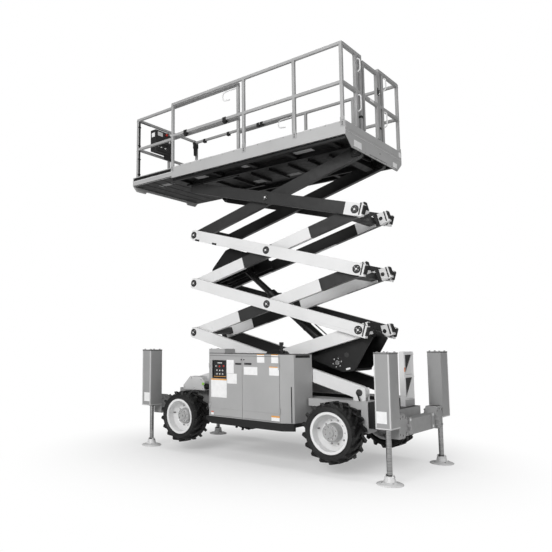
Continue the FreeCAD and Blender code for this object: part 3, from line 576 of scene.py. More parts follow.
def slat_tree():
    """Sloping louvre slats at every point."""
    sizes = {"Slat length": 0.3, "Slat depth": 0.03, "Slat thickness": 0.003, "Slat tilt": 0.6}
    tree, sockets, group_in, group_out = new_tree("louvre slats", sizes)
    given = group_in.outputs
    size = tree.nodes.new("ShaderNodeCombineXYZ")
    for axis, label in zip("XYZ", ("Slat length", "Slat thickness", "Slat depth")):
        tree.links.new(given[label], size.inputs[axis])
    slat = node_of(tree, "GeometryNodeMeshCube", Size=size.outputs["Vector"])
    tilt = tree.nodes.new("ShaderNodeCombineXYZ")
    tree.links.new(given["Slat tilt"], tilt.inputs["X"])
    spread = node_of(tree, "GeometryNodeInstanceOnPoints", Points=given["Geometry"],
                     Instance=slat.outputs["Mesh"], Rotation=tilt.outputs["Vector"])
    return end_tree(tree, spread.outputs["Instances"], group_in, group_out), sockets


TREES = {"bolts": bolt_tree(), "treads": tread_tree(), "slats": slat_tree()}


def spread_over(name, body, slot, finish_name, tree_name, spots, attribute=None, values=(), **sizes):
    """Run a tree over points and keep the result as one plain mesh on a body."""
    tree, sockets = TREES[tree_name]
    mesh = bpy.data.meshes.new(name)
    mesh.from_pydata([place(*spot) for spot in spots], [], [])
    if attribute:
        kind = "FLOAT_VECTOR" if attribute == "facing" else "FLOAT"
        layer = mesh.attributes.new(attribute, kind, "POINT")
        for item, value in zip(layer.data, values):
            if kind == "FLOAT_VECTOR":
                item.vector = value
            else:
                item.value = value
    thing = bpy.data.objects.new(name, mesh)
    bpy.context.scene.collection.objects.link(thing)
    modifier = thing.modifiers.new("Spread", "NODES")
    modifier.node_group = tree
    for label, value in sizes.items():
        modifier[sockets[label.replace("_", " ")].identifier] = value
    modifier[sockets["Finish"].identifier] = MATERIALS[finish_name]
    evaluated = thing.evaluated_get(bpy.context.evaluated_depsgraph_get())
    result = bpy.data.meshes.new_from_object(evaluated)
    result.name = name
    thing.modifiers.clear()
    thing.data = result
    for face in result.polygons:
        face.use_smooth = False
    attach(thing, body)
    return thing


def bolts(name, body, slot, spots, radius=9.0, height=7.0, washer=14.0, finish_name="bolt_zinc", sides=6):
    """Bolt heads: each spot is a place and the way that it faces."""
    return spread_over(name, body, slot, finish_name, "bolts", [spot for spot, _ in spots], "facing",
                       [facing for _, facing in spots], Head_radius=radius / 1000, Head_height=height / 1000,
                       Washer_radius=washer / 1000, Washer_height=0.002, Sides=sides)


def treads(name, body, slot, finish_name, x, y, z, pitch=42.0, gaps=()):
    """Tread studs over a floor, left out where something slides on it."""
    spots = []
    leans = []
    rows = int((x[1] - x[0]) // pitch)
    columns = int((y[1] - y[0]) // pitch)
    for i in range(rows + 1):
        for j in range(columns + 1):
            spot = (x[0] + i * pitch, y[0] + j * pitch, z + 0.9)
            if not any(low < abs(spot[1]) < high for low, high in gaps):
                spots.append(spot)
                leans.append(math.radians(45 if (i + j) % 2 else -45))
    return spread_over(name, body, slot, finish_name, "treads", spots, "lean", leans)


# Places on the arms
COS, SIN = math.cos(LIFT_ANGLE), math.sin(LIFT_ANGLE)


def on_outer(level):
    """Places given along an outer arm from its rear pin, and above its middle."""
    base = BASE_PIN + (level - 1) * RISE
    return lambda along, y, above: (REAR_PIN + along * COS - above * SIN, y, base + along * SIN + above * COS)


def on_inner(level):
    """Places given along an inner arm from its front pin, and above its middle."""
    base = BASE_PIN + (level - 1) * RISE
    return lambda along, y, above: (FRONT_PIN - along * COS + above * SIN, y, base + along * SIN + above * COS)


def in_arm(kind, level, x, z):
    """How far along an arm, and how far above its middle, a place is."""
    dz = z - BASE_PIN - (level - 1) * RISE
    if kind == "outer":
        dx = x - REAR_PIN
        return dx * COS + dz * SIN, dz * COS - dx * SIN
    dx = x - FRONT_PIN
    return dz * SIN - dx * COS, dz * COS + dx * SIN


# Where the arms' paint and the painted shade on them change: from, to, finish; the dark stretches are painted shade
# cast by the deck and the arms above
OUTER_SHADE_ZONES = {
    1: [(-200, 3000, "arm_paint")],
    2: [(-200, 3000, "arm_paint")],
    3: [(-200, 3000, "arm_paint")],
    4: [(-200, 140, "arm_paint"), (140, 3000, "dark_paint_and_shade")],
}
INNER_SHADE_ZONES = {
    1: [(-200, 2360, "arm_paint"), (2360, 3000, "arm_paint")],
    2: [(-200, 805, "arm_paint"), (805, 1340, "dark_paint_and_shade"), (1340, 2130, "arm_paint"),
        (2130, 2655, "dark_paint_and_shade"), (2655, 3000, "arm_paint")],
    3: [(-200, 885, "arm_paint"), (885, 1400, "dark_paint_and_shade"), (1400, 1990, "arm_paint"),
        (1990, 2655, "dark_paint_and_shade"), (2655, 3000, "arm_paint")],
    4: [(-200, 3000, "dark_paint_and_shade")],
}
# stretches where the inner arms' facing sides stay white instead of painted shade
INSIDE_STRIPS = {1: ((300, 1100),), 2: ((35, 560), (1424, 2600)), 3: ((2330, 2600),)}


def painted_arms(kind, level):
    """A pair of arms with the limits of their paint and of the painted shade on them."""
    zones = (OUTER_SHADE_ZONES if kind == "outer" else INNER_SHADE_ZONES)[level]
    strips = INSIDE_STRIPS.get(level, ()) if kind == "inner" else ()
    spot = (on_outer if kind == "outer" else on_inner)(level)
    heading = Vector((COS if kind == "outer" else -COS, 0, SIN))
    limits = {low for low, _, _ in zones[1:]}
    for strip in strips:
        limits.update(strip)
    if kind == "inner" and level < 4:
        limits.add(2655)
    cuts = [(spot(along, 0, 0), heading) for along in sorted(limits)]
    wall = OUTER_FACE - 64 if kind == "outer" else INNER_FACE
    if kind == "outer":
        ends = [(spot(ARM + 55, 0, 0), heading, wall, wall + 64)]
    else:
        ends = [(spot(-55, 0, 0), -heading, wall, wall + 64)]

    def choose(x, y, z, normal):
        along, _ = in_arm(kind, level, x, z)
        if abs(y) < wall - 1:
            return "black_paint"
        if abs(y) > OUTER_FACE + 1:
            return "dark_paint_and_shade"
        if normal.y * y < 0 and abs(normal.y) > 0.9:
            # the sides that look at each other: black as painted shade between the arms, white along the strips and
            # past 2655 on the lower inner arms
            light = any(low < along < high for low, high in strips)
            return "arm_paint" if light or (kind == "inner" and level < 4 and along > 2655) else "black_paint"
        return next(finish_name for low, high, finish_name in zones if low <= along <= high)

    return softened("%s_arms_%d" % (kind, level), 0.004, 28, None, choose, cuts, ends)


# The frame's own nodes, softened and painted in their zones, some of which are painted shade
def chassis_finish(x, y, z, normal):
    if z < 522:
        return "black_paint"
    if abs(x - REAR_PIN) < 77 and z > 817:
        return "arm_paint"
    # the middle strip is black; faces that look down are black as painted shade
    if abs(y) < 232 or normal.z < -0.5:
        return "black_paint"
    if abs(y) > 346 and x < POD_REAR + 2:
        return "panel_paint" if z > 726 else "beam_paint"
    return "beam_paint"


def outrigger_finish(x, y, z, normal):
    inner_edge = min(abs(x - reach) for reach in JACKS.values())
    if abs(y) <= 301 and inner_edge > 61 and abs(x) < 1741:
        return "black_paint"
    if abs(y) > JACK_SIDE - 119:
        return "housing_paint"
    return "beam_paint"


def deck_finish(x, y, z, normal):
    if z > FLOOR - 0.5 and normal.z > 0.9 and abs(y) < 780:
        return "beam_paint"
    # the deck's underside and every face that looks down are black as painted shade
    if z < FLOOR - 19 and abs(y) < 786 and x > DECK_REAR + 13:
        return "black_paint"
    if normal.z < -0.3:
        return "black_paint"
    if x < DECK_REAR + 1 and z < FLOOR - 30:
        return "grey_paint"
    return "panel_paint"


def rim_finish(x, y, z, normal):
    reach = min(math.hypot(x - middle, z - AXLE_HEIGHT) for middle in WHEELS.values())
    return "hub_paint" if reach < 92 else "rim_paint"


CHOICES = {
    "chassis_frame": chassis_finish, "outrigger_frame_front": outrigger_finish,
    "outrigger_frame_rear": outrigger_finish, "platform_deck": deck_finish,
}
MADE_AFRESH = ("pod_left", "pod_right", "ladder", "extension_deck", "extension_rails")
for node, cad in frame["nodes"].items():
    if node in MADE_AFRESH:
        continue
    if node.startswith(("tyre", "jack_rod", "cylinder_rod")):
        cad.data.materials.clear()
        cad.data.materials.append(MATERIALS[SLOT_OF[node]])
    elif node.startswith(("outer_arms", "inner_arms")):
        painted_arms(node[:5], int(node[-1]))
    elif node.startswith("rim"):
        softened(node, 0.003, 28, None, rim_finish)
    elif node in ("side_rails", "rear_rails", "entry_gate"):
        softened(node, 0.007)
    else:
        softened(node, 0.003, 28, None, CHOICES.get(node))


# Forms that the plainer solids lack
def frame_forms():
    """Posts and mud guards behind the rear wheels, the cover over the front axle, the pods' skirts."""
    form = Form("panel_paint")
    tail, nose, face = POD_REAR + 183, POD_FRONT + 68, POD_FACE - 15
    skirt = ((tail, 430), (nose - 95, 430), (nose, 478), (nose, POD_FOOT), (tail, POD_FOOT))
    for side in SIDES:
        reach = (side * 344, side * 560)
        form.use("panel_paint").block((-1482, -1400), reach, (470, FRAME_TOP))
        form.use("black_paint").block((-1572, -1542), reach, (POD_FOOT, FRAME_TOP))
        form.block((-1542, -1482), (side * 344, side * 548), (POD_FOOT, FRAME_TOP))
        form.plate("y", skirt, side * (face - 30), side * face)
        form.block((tail, POD_FRONT - 120), (side * 803, side * 821), (450, POD_FOOT))
        turned_in = ((tail, side * face), (tail - 116, side * (face - 87)), (tail - 116, side * (face - 117)),
                     (tail, side * (face - 30)))
        form.plate("z", turned_in, 430, POD_FOOT)
    cover = ((940, 817), (1340, 817), (1340, 873), (1210, 1003), (1005, 1003), (940, 938))
    form.use("pale_paint_and_highlight").plate("y", cover, 436, 556)
    form.use("beam_paint").block((940, 1340), (350, 556), (FRAME_TOP - 1, 817))
    form.piece("frame_posts_and_cover", "chassis", "grey_paint", 4.0)


def pod_forms():
    """Each pod with its cut corner and slanted rear face, its raised block, and the left one's stack."""
    outer = ((POD_FRONT, POD_INNER), (POD_FRONT, POD_FACE), (-532, POD_FACE), (-663, 778), (POD_REAR, POD_INNER))
    inner = ((586, 454), (586, 861), (-532, 861), (-659, 774), (-711, 454))
    for name, side in SIDE_NAMES:
        form = Form("grey_paint")
        for low, high in ((POD_FOOT, POD_FOOT + 4), (POD_TOP - 4, POD_TOP)):
            form.plate("z", [(x, side * y) for x, y in outer], low, high)
        wall = (outer[1], outer[0], outer[4], outer[3], outer[2], inner[2], inner[3], inner[4], inner[0], (586, POD_FACE))
        form.plate("z", [(x, side * y) for x, y in wall], POD_FOOT + 4, POD_TOP - 4)
        face = (side * 861, side * POD_FACE)
        form.block((578, 586), face, (POD_FOOT + 4, POD_TOP - 4))
        form.block((-532, -515), face, (POD_FOOT + 4, POD_TOP - 4))
        form.block((-515, 578), face, (POD_FOOT + 4, POD_FOOT + 12))
        form.block((-515, 578), face, (POD_TOP - 30, POD_TOP - 4))
        form.block((POD_FRONT - 262, POD_FRONT), (side * 640, side * POD_FACE), (POD_TOP, POD_TOP + 56))
        for edge, away in ((578, 1), (-515, -1)):
            for z in (635, 1151):
                form.block((edge, edge + away * 10), (side * 864, side * 874), (z, z + 30))
                form.bar((edge, side * 874, z), (edge, side * 874, z + 30), 8, 16)
                form.bar((edge, side * 874, z + 30), (edge, side * 874, z + 60), 5, 12)
        if side == 1:
            form.use("black_paint").turned((-440, 700, POD_TOP), (0, 0, 1),
                                           ((0, 19), (109, 19), (109.5, 27), (140, 27), (143, 24)), 28)
        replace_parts(form.piece("pod_shell_" + name, "chassis", "grey_paint", 2.0), "pod_" + name)


def ladder_form():
    form = Form("ladder_paint")
    x = (LADDER_FRONT - 60, LADDER_FRONT)
    for y in ((-310, -264), (-66, -20)):
        form.block(x, y, (735, 1374))
    for z in ((1340, 1374), (1070, 1104), (735, 817)):
        form.block(x, (-264, -66), z)
    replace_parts(form.piece("ladder_frame", "chassis", "ladder_paint", 5.0), "ladder")


def outrigger_forms():
    """Chamfered gussets round the beams' ends."""
    for end, x in JACKS.items():
        form = Form("beam_paint")
        for side in SIDES:
            near, far = side * 429, side * 643
            chamfer = side * 499
            outline = ((near, 525), (chamfer, 455), (far, 455), (far, 716), (chamfer, 716), (near, 646))
            form.plate("x", outline, x - 74, x + 74)
        form.piece("gussets_" + end, "chassis", "grey_paint", 4.0)


def bracket_forms():
    """The deep plates that carry the lift cylinder's eyes on the first and third inner arms."""
    x, z = ARM - 484, -272
    keel = ((x - 700, -47), (x - 700, -77), (x - 350, -135), (x + 40, z - 128), (x + 195, z - 151),
            (x + 240, z - 110), (ARM + 50, -105), (ARM - 25, 0), (ARM - 100, 60), (x - 640, 15))
    form = Form("black_paint", at=on_inner(1))
    for side in SIDES:
        form.plate("y", keel, side * 206, side * 222)
        form.block((x - 685, x - 595), (side * 222, side * 289), (-77, -16))
        form.block((x + 15, x + 105), (side * 222, side * 289), (-77, 16))
        form.block((ARM - 170, ARM - 80), (side * 222, side * 289), (-45, 45))
        form.use("bolt_zinc").bar((x, side * 101, z), (x, side * 206, z), 34, 24)
        form.use("black_paint")
    form.block((x + 180, x + 220), (-206, 206), (z - 151, z - 128))
    form.piece("lower_bracket", "inner_1", "black_paint", 3.0)
    x, z = 656, 23
    crest = ((x - 476, -50), (x - 476, 60), (x - 413, 161), (x - 113, 336), (x - 20, 336), (x + 290, 131),
             (x + 320, -50))
    form = Form("black_paint", at=on_inner(3))
    for side in SIDES:
        form.plate("y", crest, side * 206, side * 222)
        form.block((x + 205, x + 295), (side * 222, side * 289), (z - 68, z + 52))
        form.use("bolt_zinc").bar((x, side * 99, z), (x, side * 206, z), 30, 24)
        form.use("black_paint")
    form.block((x - 93, x - 20), (-206, 206), (300, 316))
    form.piece("upper_bracket", "inner_3", "black_paint", 3.0)


def deck_forms():
    """Ribs and edge channels under the deck's sides, clear of the arms, black as painted shade."""
    form = Form("black_paint")
    under = FLOOR - 20
    for side in SIDES:
        for x in (-1215, -595, 25, 645, 1265):
            form.block((x, x + 60), (side * 470, side * 728), (under - 42, under))
        form.block((DECK_REAR + 13, DECK_FRONT), (side * 728, side * 776), (under - 42, under))
    form.piece("deck_ribs", "platform", "grey_paint", 3.0)


def roll_out_forms():
    """The roll-out deck with its slotted side beams and its nose, and the rails that stand on it."""
    half, floor, under = ROLL_OUT_HALF, ROLL_OUT_FLOOR, ROLL_OUT_FLOOR - 25
    span = (ROLL_OUT_REAR, NOSE - 20)
    form = Form("beam_paint")
    form.block(span, (-760, 760), (floor - 12, floor))
    # the roll-out floor's underside, black as painted shade
    form.use("black_paint").block(span, (-760, 760), (under, floor - 12))
    for side in SIDES:
        form.use("panel_paint").block(span, (side * 760, side * half), (under, floor + 60))
        # the slot along the side beam: a black recessed strip as painted shade
        form.use("black_paint").block(span, (side * 760, side * 766), (floor + 60, floor + 105))
        form.use("panel_paint").block(span, (side * 760, side * half), (floor + 105, floor + 117))
        form.use("black_paint").block((170, 710), (side * 600, side * 690), (FLOOR + 0.3, under))
    edge, low = 770, floor - 90
    notch = OUTER_FACE + 45
    nose = ((-edge, low + 75), (75 - edge, low), (-notch - 30, low), (-notch, floor - 58), (notch, floor - 58),
            (notch + 30, low), (edge - 75, low), (edge, low + 75), (edge, TOE_TOP), (-edge, TOE_TOP))
    form.use("panel_paint").plate("x", nose, NOSE - 20, NOSE)
    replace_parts(form.piece("roll_out_frame", "extension", "grey_paint", 2.0), "extension_deck")
    form = Form("rail_paint")
    y, rear, front, tube = 700, ROLL_OUT_REAR + 54, NOSE - 40.3, 20
    for z in (MID_RAIL, TOP_RAIL):
        for side in SIDES:
            form.block((rear - tube, front + tube), (side * (y - tube), side * (y + tube)), (z - tube, z + tube))
        form.block((front - tube, front + tube), (tube - y, y - tube), (z - tube, z + tube))
    for x, across in ((rear, y), (rear, -y), (front, y), (front, -y), (front, 0)):
        for low, high in ((floor, MID_RAIL - tube), (MID_RAIL + tube, TOP_RAIL - tube)):
            form.block((x - tube, x + tube), (across - tube, across + tube), (low, high))
    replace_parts(form.piece("roll_out_rails", "extension", "rail_paint", 7.0), "extension_rails")


# Wheels
def wheel_details():
    for end, x in WHEELS.items():
        face = 770.0 if end == "front" else 817.0
        for name, side in SIDE_NAMES:
            body = "wheel_%s_%s" % (end, name)
            out = (0, side, 0)
            form = Form("hub_paint")
            form.turned((x, side * 712, AXLE_HEIGHT), out, ((0, 108), (face - 716, 98), (face - 712, 94)), 40)
            form.boss((x, side * (face - 1), AXLE_HEIGHT), out, 47, 13, 3)
            form.ring((x, side * face, AXLE_HEIGHT), out, 90, 3.5)
            form.use("bolt_zinc").boss((x, side * (face + 11), AXLE_HEIGHT), out, 14, 8, 2, 12)
            form.use("seal_rubber").bar((x + 176, side * 733, AXLE_HEIGHT + 30), (x + 182, side * 768, AXLE_HEIGHT + 32), 6, 10)
            form.piece("hub_cap_%s_%s" % (end, name), body, "rim_paint")
            spots = [((x + 70 * math.cos(a), side * face, AXLE_HEIGHT + 70 * math.sin(a)), out)
                     for a in (2 * math.pi * (i + 0.5) / 8 for i in range(8))]
            bolts("wheel_nuts_%s_%s" % (end, name), body, "chrome_rod", spots, 8.5, 10, 12)
            dish = [((x + 136 * math.cos(a), side * 706, AXLE_HEIGHT + 136 * math.sin(a)), out)
                    for a in (2 * math.pi * i / 10 for i in range(10))]
            bolts("dish_bolts_%s_%s" % (end, name), body, "chrome_rod", dish, 9.5, 12, 13)


# Pods and their doors
def label(form, side, x, z, strip=None, part=0.14, face=POD_FACE):
    """A bare white plate on a side face, with a coloured strip along its top."""
    x, z = sorted(x), sorted(z)
    line = z[1] - part * (z[1] - z[0]) if strip else z[1]
    form.use("label_white").block(x, (side * (face - 0.5), side * (face + 1.2)), (z[0], line))
    if strip:
        form.use(strip).block(x, (side * (face - 0.5), side * (face + 1.2)), (line, z[1]))


def latch(form, side, x, z):
    """A black paddle latch in its dish, with a round lock above it."""
    low, high = sorted(x)
    middle = sum(z) / 2
    form.use("control_plastic")
    form.block((low, high), (side * (POD_FACE - 1), side * (POD_FACE + 4)), z)
    form.block((low + 8, high - 26), (side * (POD_FACE + 3), side * (POD_FACE + 9)), (middle - 7, middle + 7))
    form.use("bolt_zinc").boss((high - 13, side * (POD_FACE + 3), middle), (0, side, 0), 7, 3, 1, 12)


def pod_details():
    left_front = Form("label_white")
    left_rear = Form("label_white")
    fixed = Form("label_white")
    for x in ((-298, -186), (-499, -399)):
        label(left_rear, 1, x, (1232, 1304))
        label(fixed, 1, x, (1313, 1338), "label_orange", 0.45)
    label(left_rear, 1, (-191, 17), (1078, 1177))
    label(left_rear, 1, (-508, -366), (1082, 1188), "label_orange", 0.1)
    label(left_rear, 1, (-508, -391), (545, 606), "label_orange", 0.32)
    label(left_front, 1, (178, 292), (1087, 1257))
    label(left_front, 1, (130, 288), (957, 1084))
    label(left_front, 1, (294, 555), (772, 1010), "label_orange", 0.07)
    label(left_front, 1, (513, 555), (545, 592), "label_red", 0.35)
    latch(left_front, 1, (57, 155), (1198, 1221))
    latch(left_rear, 1, (-101, 10), (1202, 1225))
    left_front.use("seal_rubber").boss((56, POD_FACE - 1, 1263), (0, 1, 0), 9, 5, 1.5, 16)
    left_rear.use("seal_rubber").boss((16, POD_FACE - 1, 1264), (0, 1, 0), 9, 5, 1.5, 16)
    left_front.use("grey_paint").block((51, 568), (POD_FACE - 1, POD_FACE + 3), (628, 634))
    left_rear.use("grey_paint").block((-505, 39), (POD_FACE - 1, POD_FACE + 3), (628, 634))
    left_front.use("seal_rubber")
    for z in ((1244, 1250), (1016, 1022)):
        left_front.block((301, 536), (POD_FACE - 1, POD_FACE + 2.5), z)
    for x in ((301, 307), (530, 536)):
        left_front.block(x, (POD_FACE - 1, POD_FACE + 2.5), (1016, 1250))
    left_front.piece("door_fittings_left_front", "door_left_front", "control_plastic", 0.6)
    left_rear.piece("door_fittings_left_rear", "door_left_rear", "control_plastic", 0.6)
    # the right pod: louvres over the engine and two plain latches
    for name, x, at in (("front", (75, 555), (-1, 1)), ("rear", (-495, 20), (1, -1))):
        form = Form("control_plastic")
        span = (57, 155) if name == "front" else (-101, 10)
        latch(form, -1, span, (1198, 1221))
        form.use("grey_paint").block((51, 568) if name == "front" else (-505, 39),
                                     (-POD_FACE + 1, -POD_FACE - 3), (628, 634))
        form.use("seal_rubber").block((x[0] + 30, x[1] - 30), (-POD_FACE + 1, -POD_FACE - 1.5), (700, 1040))
        label(form, -1, (x[0] + 40, x[0] + 150), (1090, 1180), "label_orange", 0.12)
        form.piece("door_fittings_right_" + name, "door_right_" + name, "control_plastic", 0.6)
        middle = (x[0] + x[1]) / 2
        spots = [(middle, -POD_FACE - 9, 718 + 38 * i) for i in range(9)]
        spread_over("louvres_right_" + name, "door_right_" + name, "grey_paint", "grey_paint", "slats", spots,
                    Slat_length=(x[1] - x[0] - 70) / 1000, Slat_depth=0.034, Slat_thickness=0.003, Slat_tilt=0.5)
    # the pods' lids: a seal along the top edge, the slot in the slanted rear face, screws
    for name, side in SIDE_NAMES:
        fixed.use("seal_rubber")
        outline = ((POD_FRONT - 262, side * POD_FACE), (-532, side * POD_FACE), (-663, side * 778),
                   (POD_REAR, side * 452))
        fixed.pipe([(x, y, POD_TOP - 2) for x, y in outline], 4.5, 20, 8)
        fixed.pipe([(POD_FRONT - 262, side * (POD_FACE - 1), POD_TOP), (POD_FRONT - 3, side * (POD_FACE - 1), POD_TOP)], 3.5)
        heading = Vector((-663 - POD_REAR, side * (778 - 450), 0)).normalized()
        normal = Vector((-abs(heading.y), side * abs(heading.x), 0))
        base = Vector((POD_REAR, side * 450, 0))
        corners = []
        for run, out in ((40, -1), (300, -1), (300, 2.5), (40, 2.5)):
            spot = base + heading * run + normal * out
            corners.append((spot.x, spot.y))
        fixed.plate("z", corners, 1296, 1328)
        # exhaust's heat shield beside the stack, on the left pod
        if side == 1:
            fixed.use("black_paint")
            hump = ((-470, POD_TOP - 1), (-180, POD_TOP - 1), (-205, POD_TOP + 30), (-260, POD_TOP + 46),
                    (-370, POD_TOP + 46), (-440, POD_TOP + 30))
            fixed.plate("y", hump, 560, 660)
            fixed.turned((-440, 700, POD_TOP - 1), (0, 0, 1), ((0, 46), (6, 46), (12, 30)), 24)
    fixed.piece("pod_trim", "chassis", "grey_paint", 0.6)
    screws = []
    for name, side in SIDE_NAMES:
        for x in range(-470, 600, 175):
            screws.append(((x, side * (POD_FACE - 16), POD_TOP), (0, 0, 1)))
        for x in (-700, -690, -680):
            screws.append(((x, side * (500 + (x + 700) * 8), POD_TOP), (0, 0, 1)))
        for z in (600, 780, 960, 1140, 1290):
            screws.append(((POD_FRONT, side * 480, z), (1, 0, 0)))
            screws.append(((POD_FRONT, side * 835, z), (1, 0, 0)))
    bolts("pod_screws", "chassis", "grey_paint", screws, 6, 4, 9)


def ground_panel():
    """The ground control panel behind its window."""
    face = 851.0
    form = Form("control_plastic")
    form.block((318, 519), (face - 1, face + 2), (1034, 1232))
    form.use("seal_rubber").block((335, 502), (face + 1, face + 3.5), (1204, 1226))
    form.use("white_button").block((380, 455), (face + 3, face + 4.2), (1209, 1221))
    out = (0, 1, 0)
    for x, z, finish_name in ((421, 1170, "red_button"), (352, 1175, "red_button"), (478, 1172, "white_button"),
                              (464, 1118, "white_button"), (416, 1118, "white_button"), (369, 1118, "white_button"),
                              (464, 1072, "white_button"), (416, 1072, "white_button"), (369, 1072, "white_button")):
        form.use("bolt_zinc").ring((x, face + 2, z), out, 12.5, 1.8, 20, 6)
        form.use(finish_name).boss((x, face + 1, z), out, 9 if finish_name != "red_button" else 12, 9, 2, 16)
    form.use("label_orange").block((318, 519), (face + 1.5, face + 2.6), (1036, 1042))
    form.piece("ground_switches", "chassis", "control_plastic")


def cover_details():
    """Round the cover over the front axle: a filter, its filler cap, and screws."""
    form = Form("black_paint")
    form.turned((942, 520, 868), (-1, 0, 0), ((0, 44), (10, 44), (14, 38), (92, 38), (100, 30)), 24)
    form.use("green_cap").turned((960, 552, 905), (0, 1, 0), ((0, 20), (14, 20), (18, 16)), 16)
    form.use("hose_rubber").pipe([(850, 520, 868), (800, 520, 868), (760, 470, 840), (700, 400, 822)], 11, 40)
    form.piece("front_filter", "chassis", "black_paint")
    spots = [((x, 556, z), (0, 1, 0)) for x, z in ((970, 840), (1130, 840), (1310, 840), (1000, 960), (1180, 980))]
    bolts("cover_screws", "chassis", "grey_paint", spots, 6, 4, 9)


# Outriggers
def outrigger_details():
    for end, x in JACKS.items():
        outward = 1 if end == "front" else -1
        trim = Form("pale_paint_and_highlight")
        spots = []
        small = []
        for name, side in SIDE_NAMES:
            y = side * JACK_SIDE
            face = side * (JACK_SIDE + 118)
            inner = side * (JACK_SIDE - 118)
            # bright strips down the outer corners as painted highlight, foot strip, cap with its dark seam
            trim.use("pale_paint_and_highlight")
            for edge in (-1, 1):
                trim.block((x + edge * 70, x + edge * 83.5), (face, face + side * 1.5), (592, 1356))
                trim.block((x + edge * 82, x + edge * 84), (face - side * 14, face + side * 1.5), (592, 1356))
            trim.block((x - 84, x + 84), (y - 119.5, y + 119.5), (577, 590))
            trim.use("seal_rubber").block((x - 83.4, x + 83.4), (y - 118.9, y + 118.9), (1360, 1366))
            trim.use("housing_paint").block((x - 85, x + 85), (y - 120.5, y + 120.5), (1366, 1375.9))
            trim.use("seal_rubber").turned((x, y, 576.5), (0, 0, -1), ((0, 52), (10, 52), (14, 44)), 28)
            label(trim, side, (x - 18 * outward - 60, x - 18 * outward + 60), (637, 761), None, 0.1, JACK_SIDE + 118)
            spots += [((x + dx, y + dy, 1375.9), (0, 0, 1)) for dx in (-60, 60) for dy in (-90, 90)]
            small += [((x + dx, face, 1371), (0, side, 0)) for dx in (-62, 62)]
            small += [((x + outward * 85, y + dy, 1371), (outward, 0, 0)) for dy in (-90, 90)]
            # gusset bolts on the faces that look out and in
            for sign in (1, -1):
                gusset = x + sign * 74
                for y_bolt, z in ((470, 500), (470, 672), (545, 486), (545, 686), (618, 500), (618, 672)):
                    spots.append(((gusset, side * y_bolt, z), (sign, 0, 0)))
            # lugs and white pins beside the tie-down eyes
            pin = x + outward * 60
            trim.use("arm_paint")
            for z in (504, 636):
                trim.boss((pin, side * 335, z), (outward, 0, 0), 17, 16, 3, 18)
            trim.use("beam_paint").block((x + outward * 60, x + outward * 72), (side * 300, side * 372), (478, 662))
        trim.piece("outrigger_trim_" + end, "chassis", "grey_paint", 0.8)
        bolts("outrigger_bolts_" + end, "chassis", "chrome_rod", spots, 11, 8, 17)
        bolts("cap_screws_" + end, "chassis", "chrome_rod", small, 5, 4, 7)
        for name, side in SIDE_NAMES:
            y = side * JACK_SIDE
            body = "jack_%s_%s" % (end, name)
            form = Form("foot_paint")
            for reach in (-1, 1):
                ear = ((y - 30, 30), (y + 30, 30), (y + 30, 88), (y + 16, 108), (y - 16, 108), (y - 30, 88))
                form.plate("x", ear, x + reach * 34, x + reach * 46)
            form.use("bolt_zinc").bar((x - 54, y, 84), (x + 54, y, 84), 10, 14)
            form.use("seal_rubber").ring((x, y, 100), (0, 0, 1), 33, 4, 28, 8)
            form.use("foot_paint").ring((x, y, 17), (0, 0, 1), 122, 3.5, 40, 8)
            form.piece("foot_lugs_%s_%s" % (end, name), body, "foot_paint", 1.0)
            spots = [((x + 84 * math.cos(a), y + 84 * math.sin(a), 25.5), (0, 0, 1))
                     for a in (math.pi / 4 + math.pi / 2 * i for i in range(4))]
            bolts("foot_bolts_%s_%s" % (end, name), body, "chrome_rod", spots, 8, 6, 12)


# Ladder
def ladder_details():
    front = LADDER_FRONT
    form = Form("ladder_paint")
    for low, high in ((1108, 1338), (822, 1068)):
        # a white corner plate behind each opening, with a black triangle at its inner side as painted shade in the
        # opening
        form.use("ladder_paint").plate("x", ((-264, high), (-264, low), (-66, low)), front - 56, front - 50)
        form.use("black_paint").plate("x", ((-264, high), (-66, low), (-66, high)), front - 50, front - 44)
    form.use("ladder_paint")
    for top in (1374, 1104):
        form.block((front - 68, front - 59), (-306, -24), (top - 34, top - 24))
    form.use("grey_paint").block((front - 61, front - 58), (-305, -25), (742, 812))
    form.use("black_paint").block((front - 30, front - 1), (-300, -30), (610, 734))
    form.use("orange_lens").block((front - 64, front - 59), (-48, -26), (1140, 1190))
    form.piece("ladder_plates", "chassis", "ladder_paint", 1.0)
    for index, top in enumerate((1374, 1104)):
        treads("ladder_treads_%d" % (index + 1), "chassis", "ladder_paint", "ladder_paint",
               (front - 52, front - 8), (-300, -30), top, 30.0)


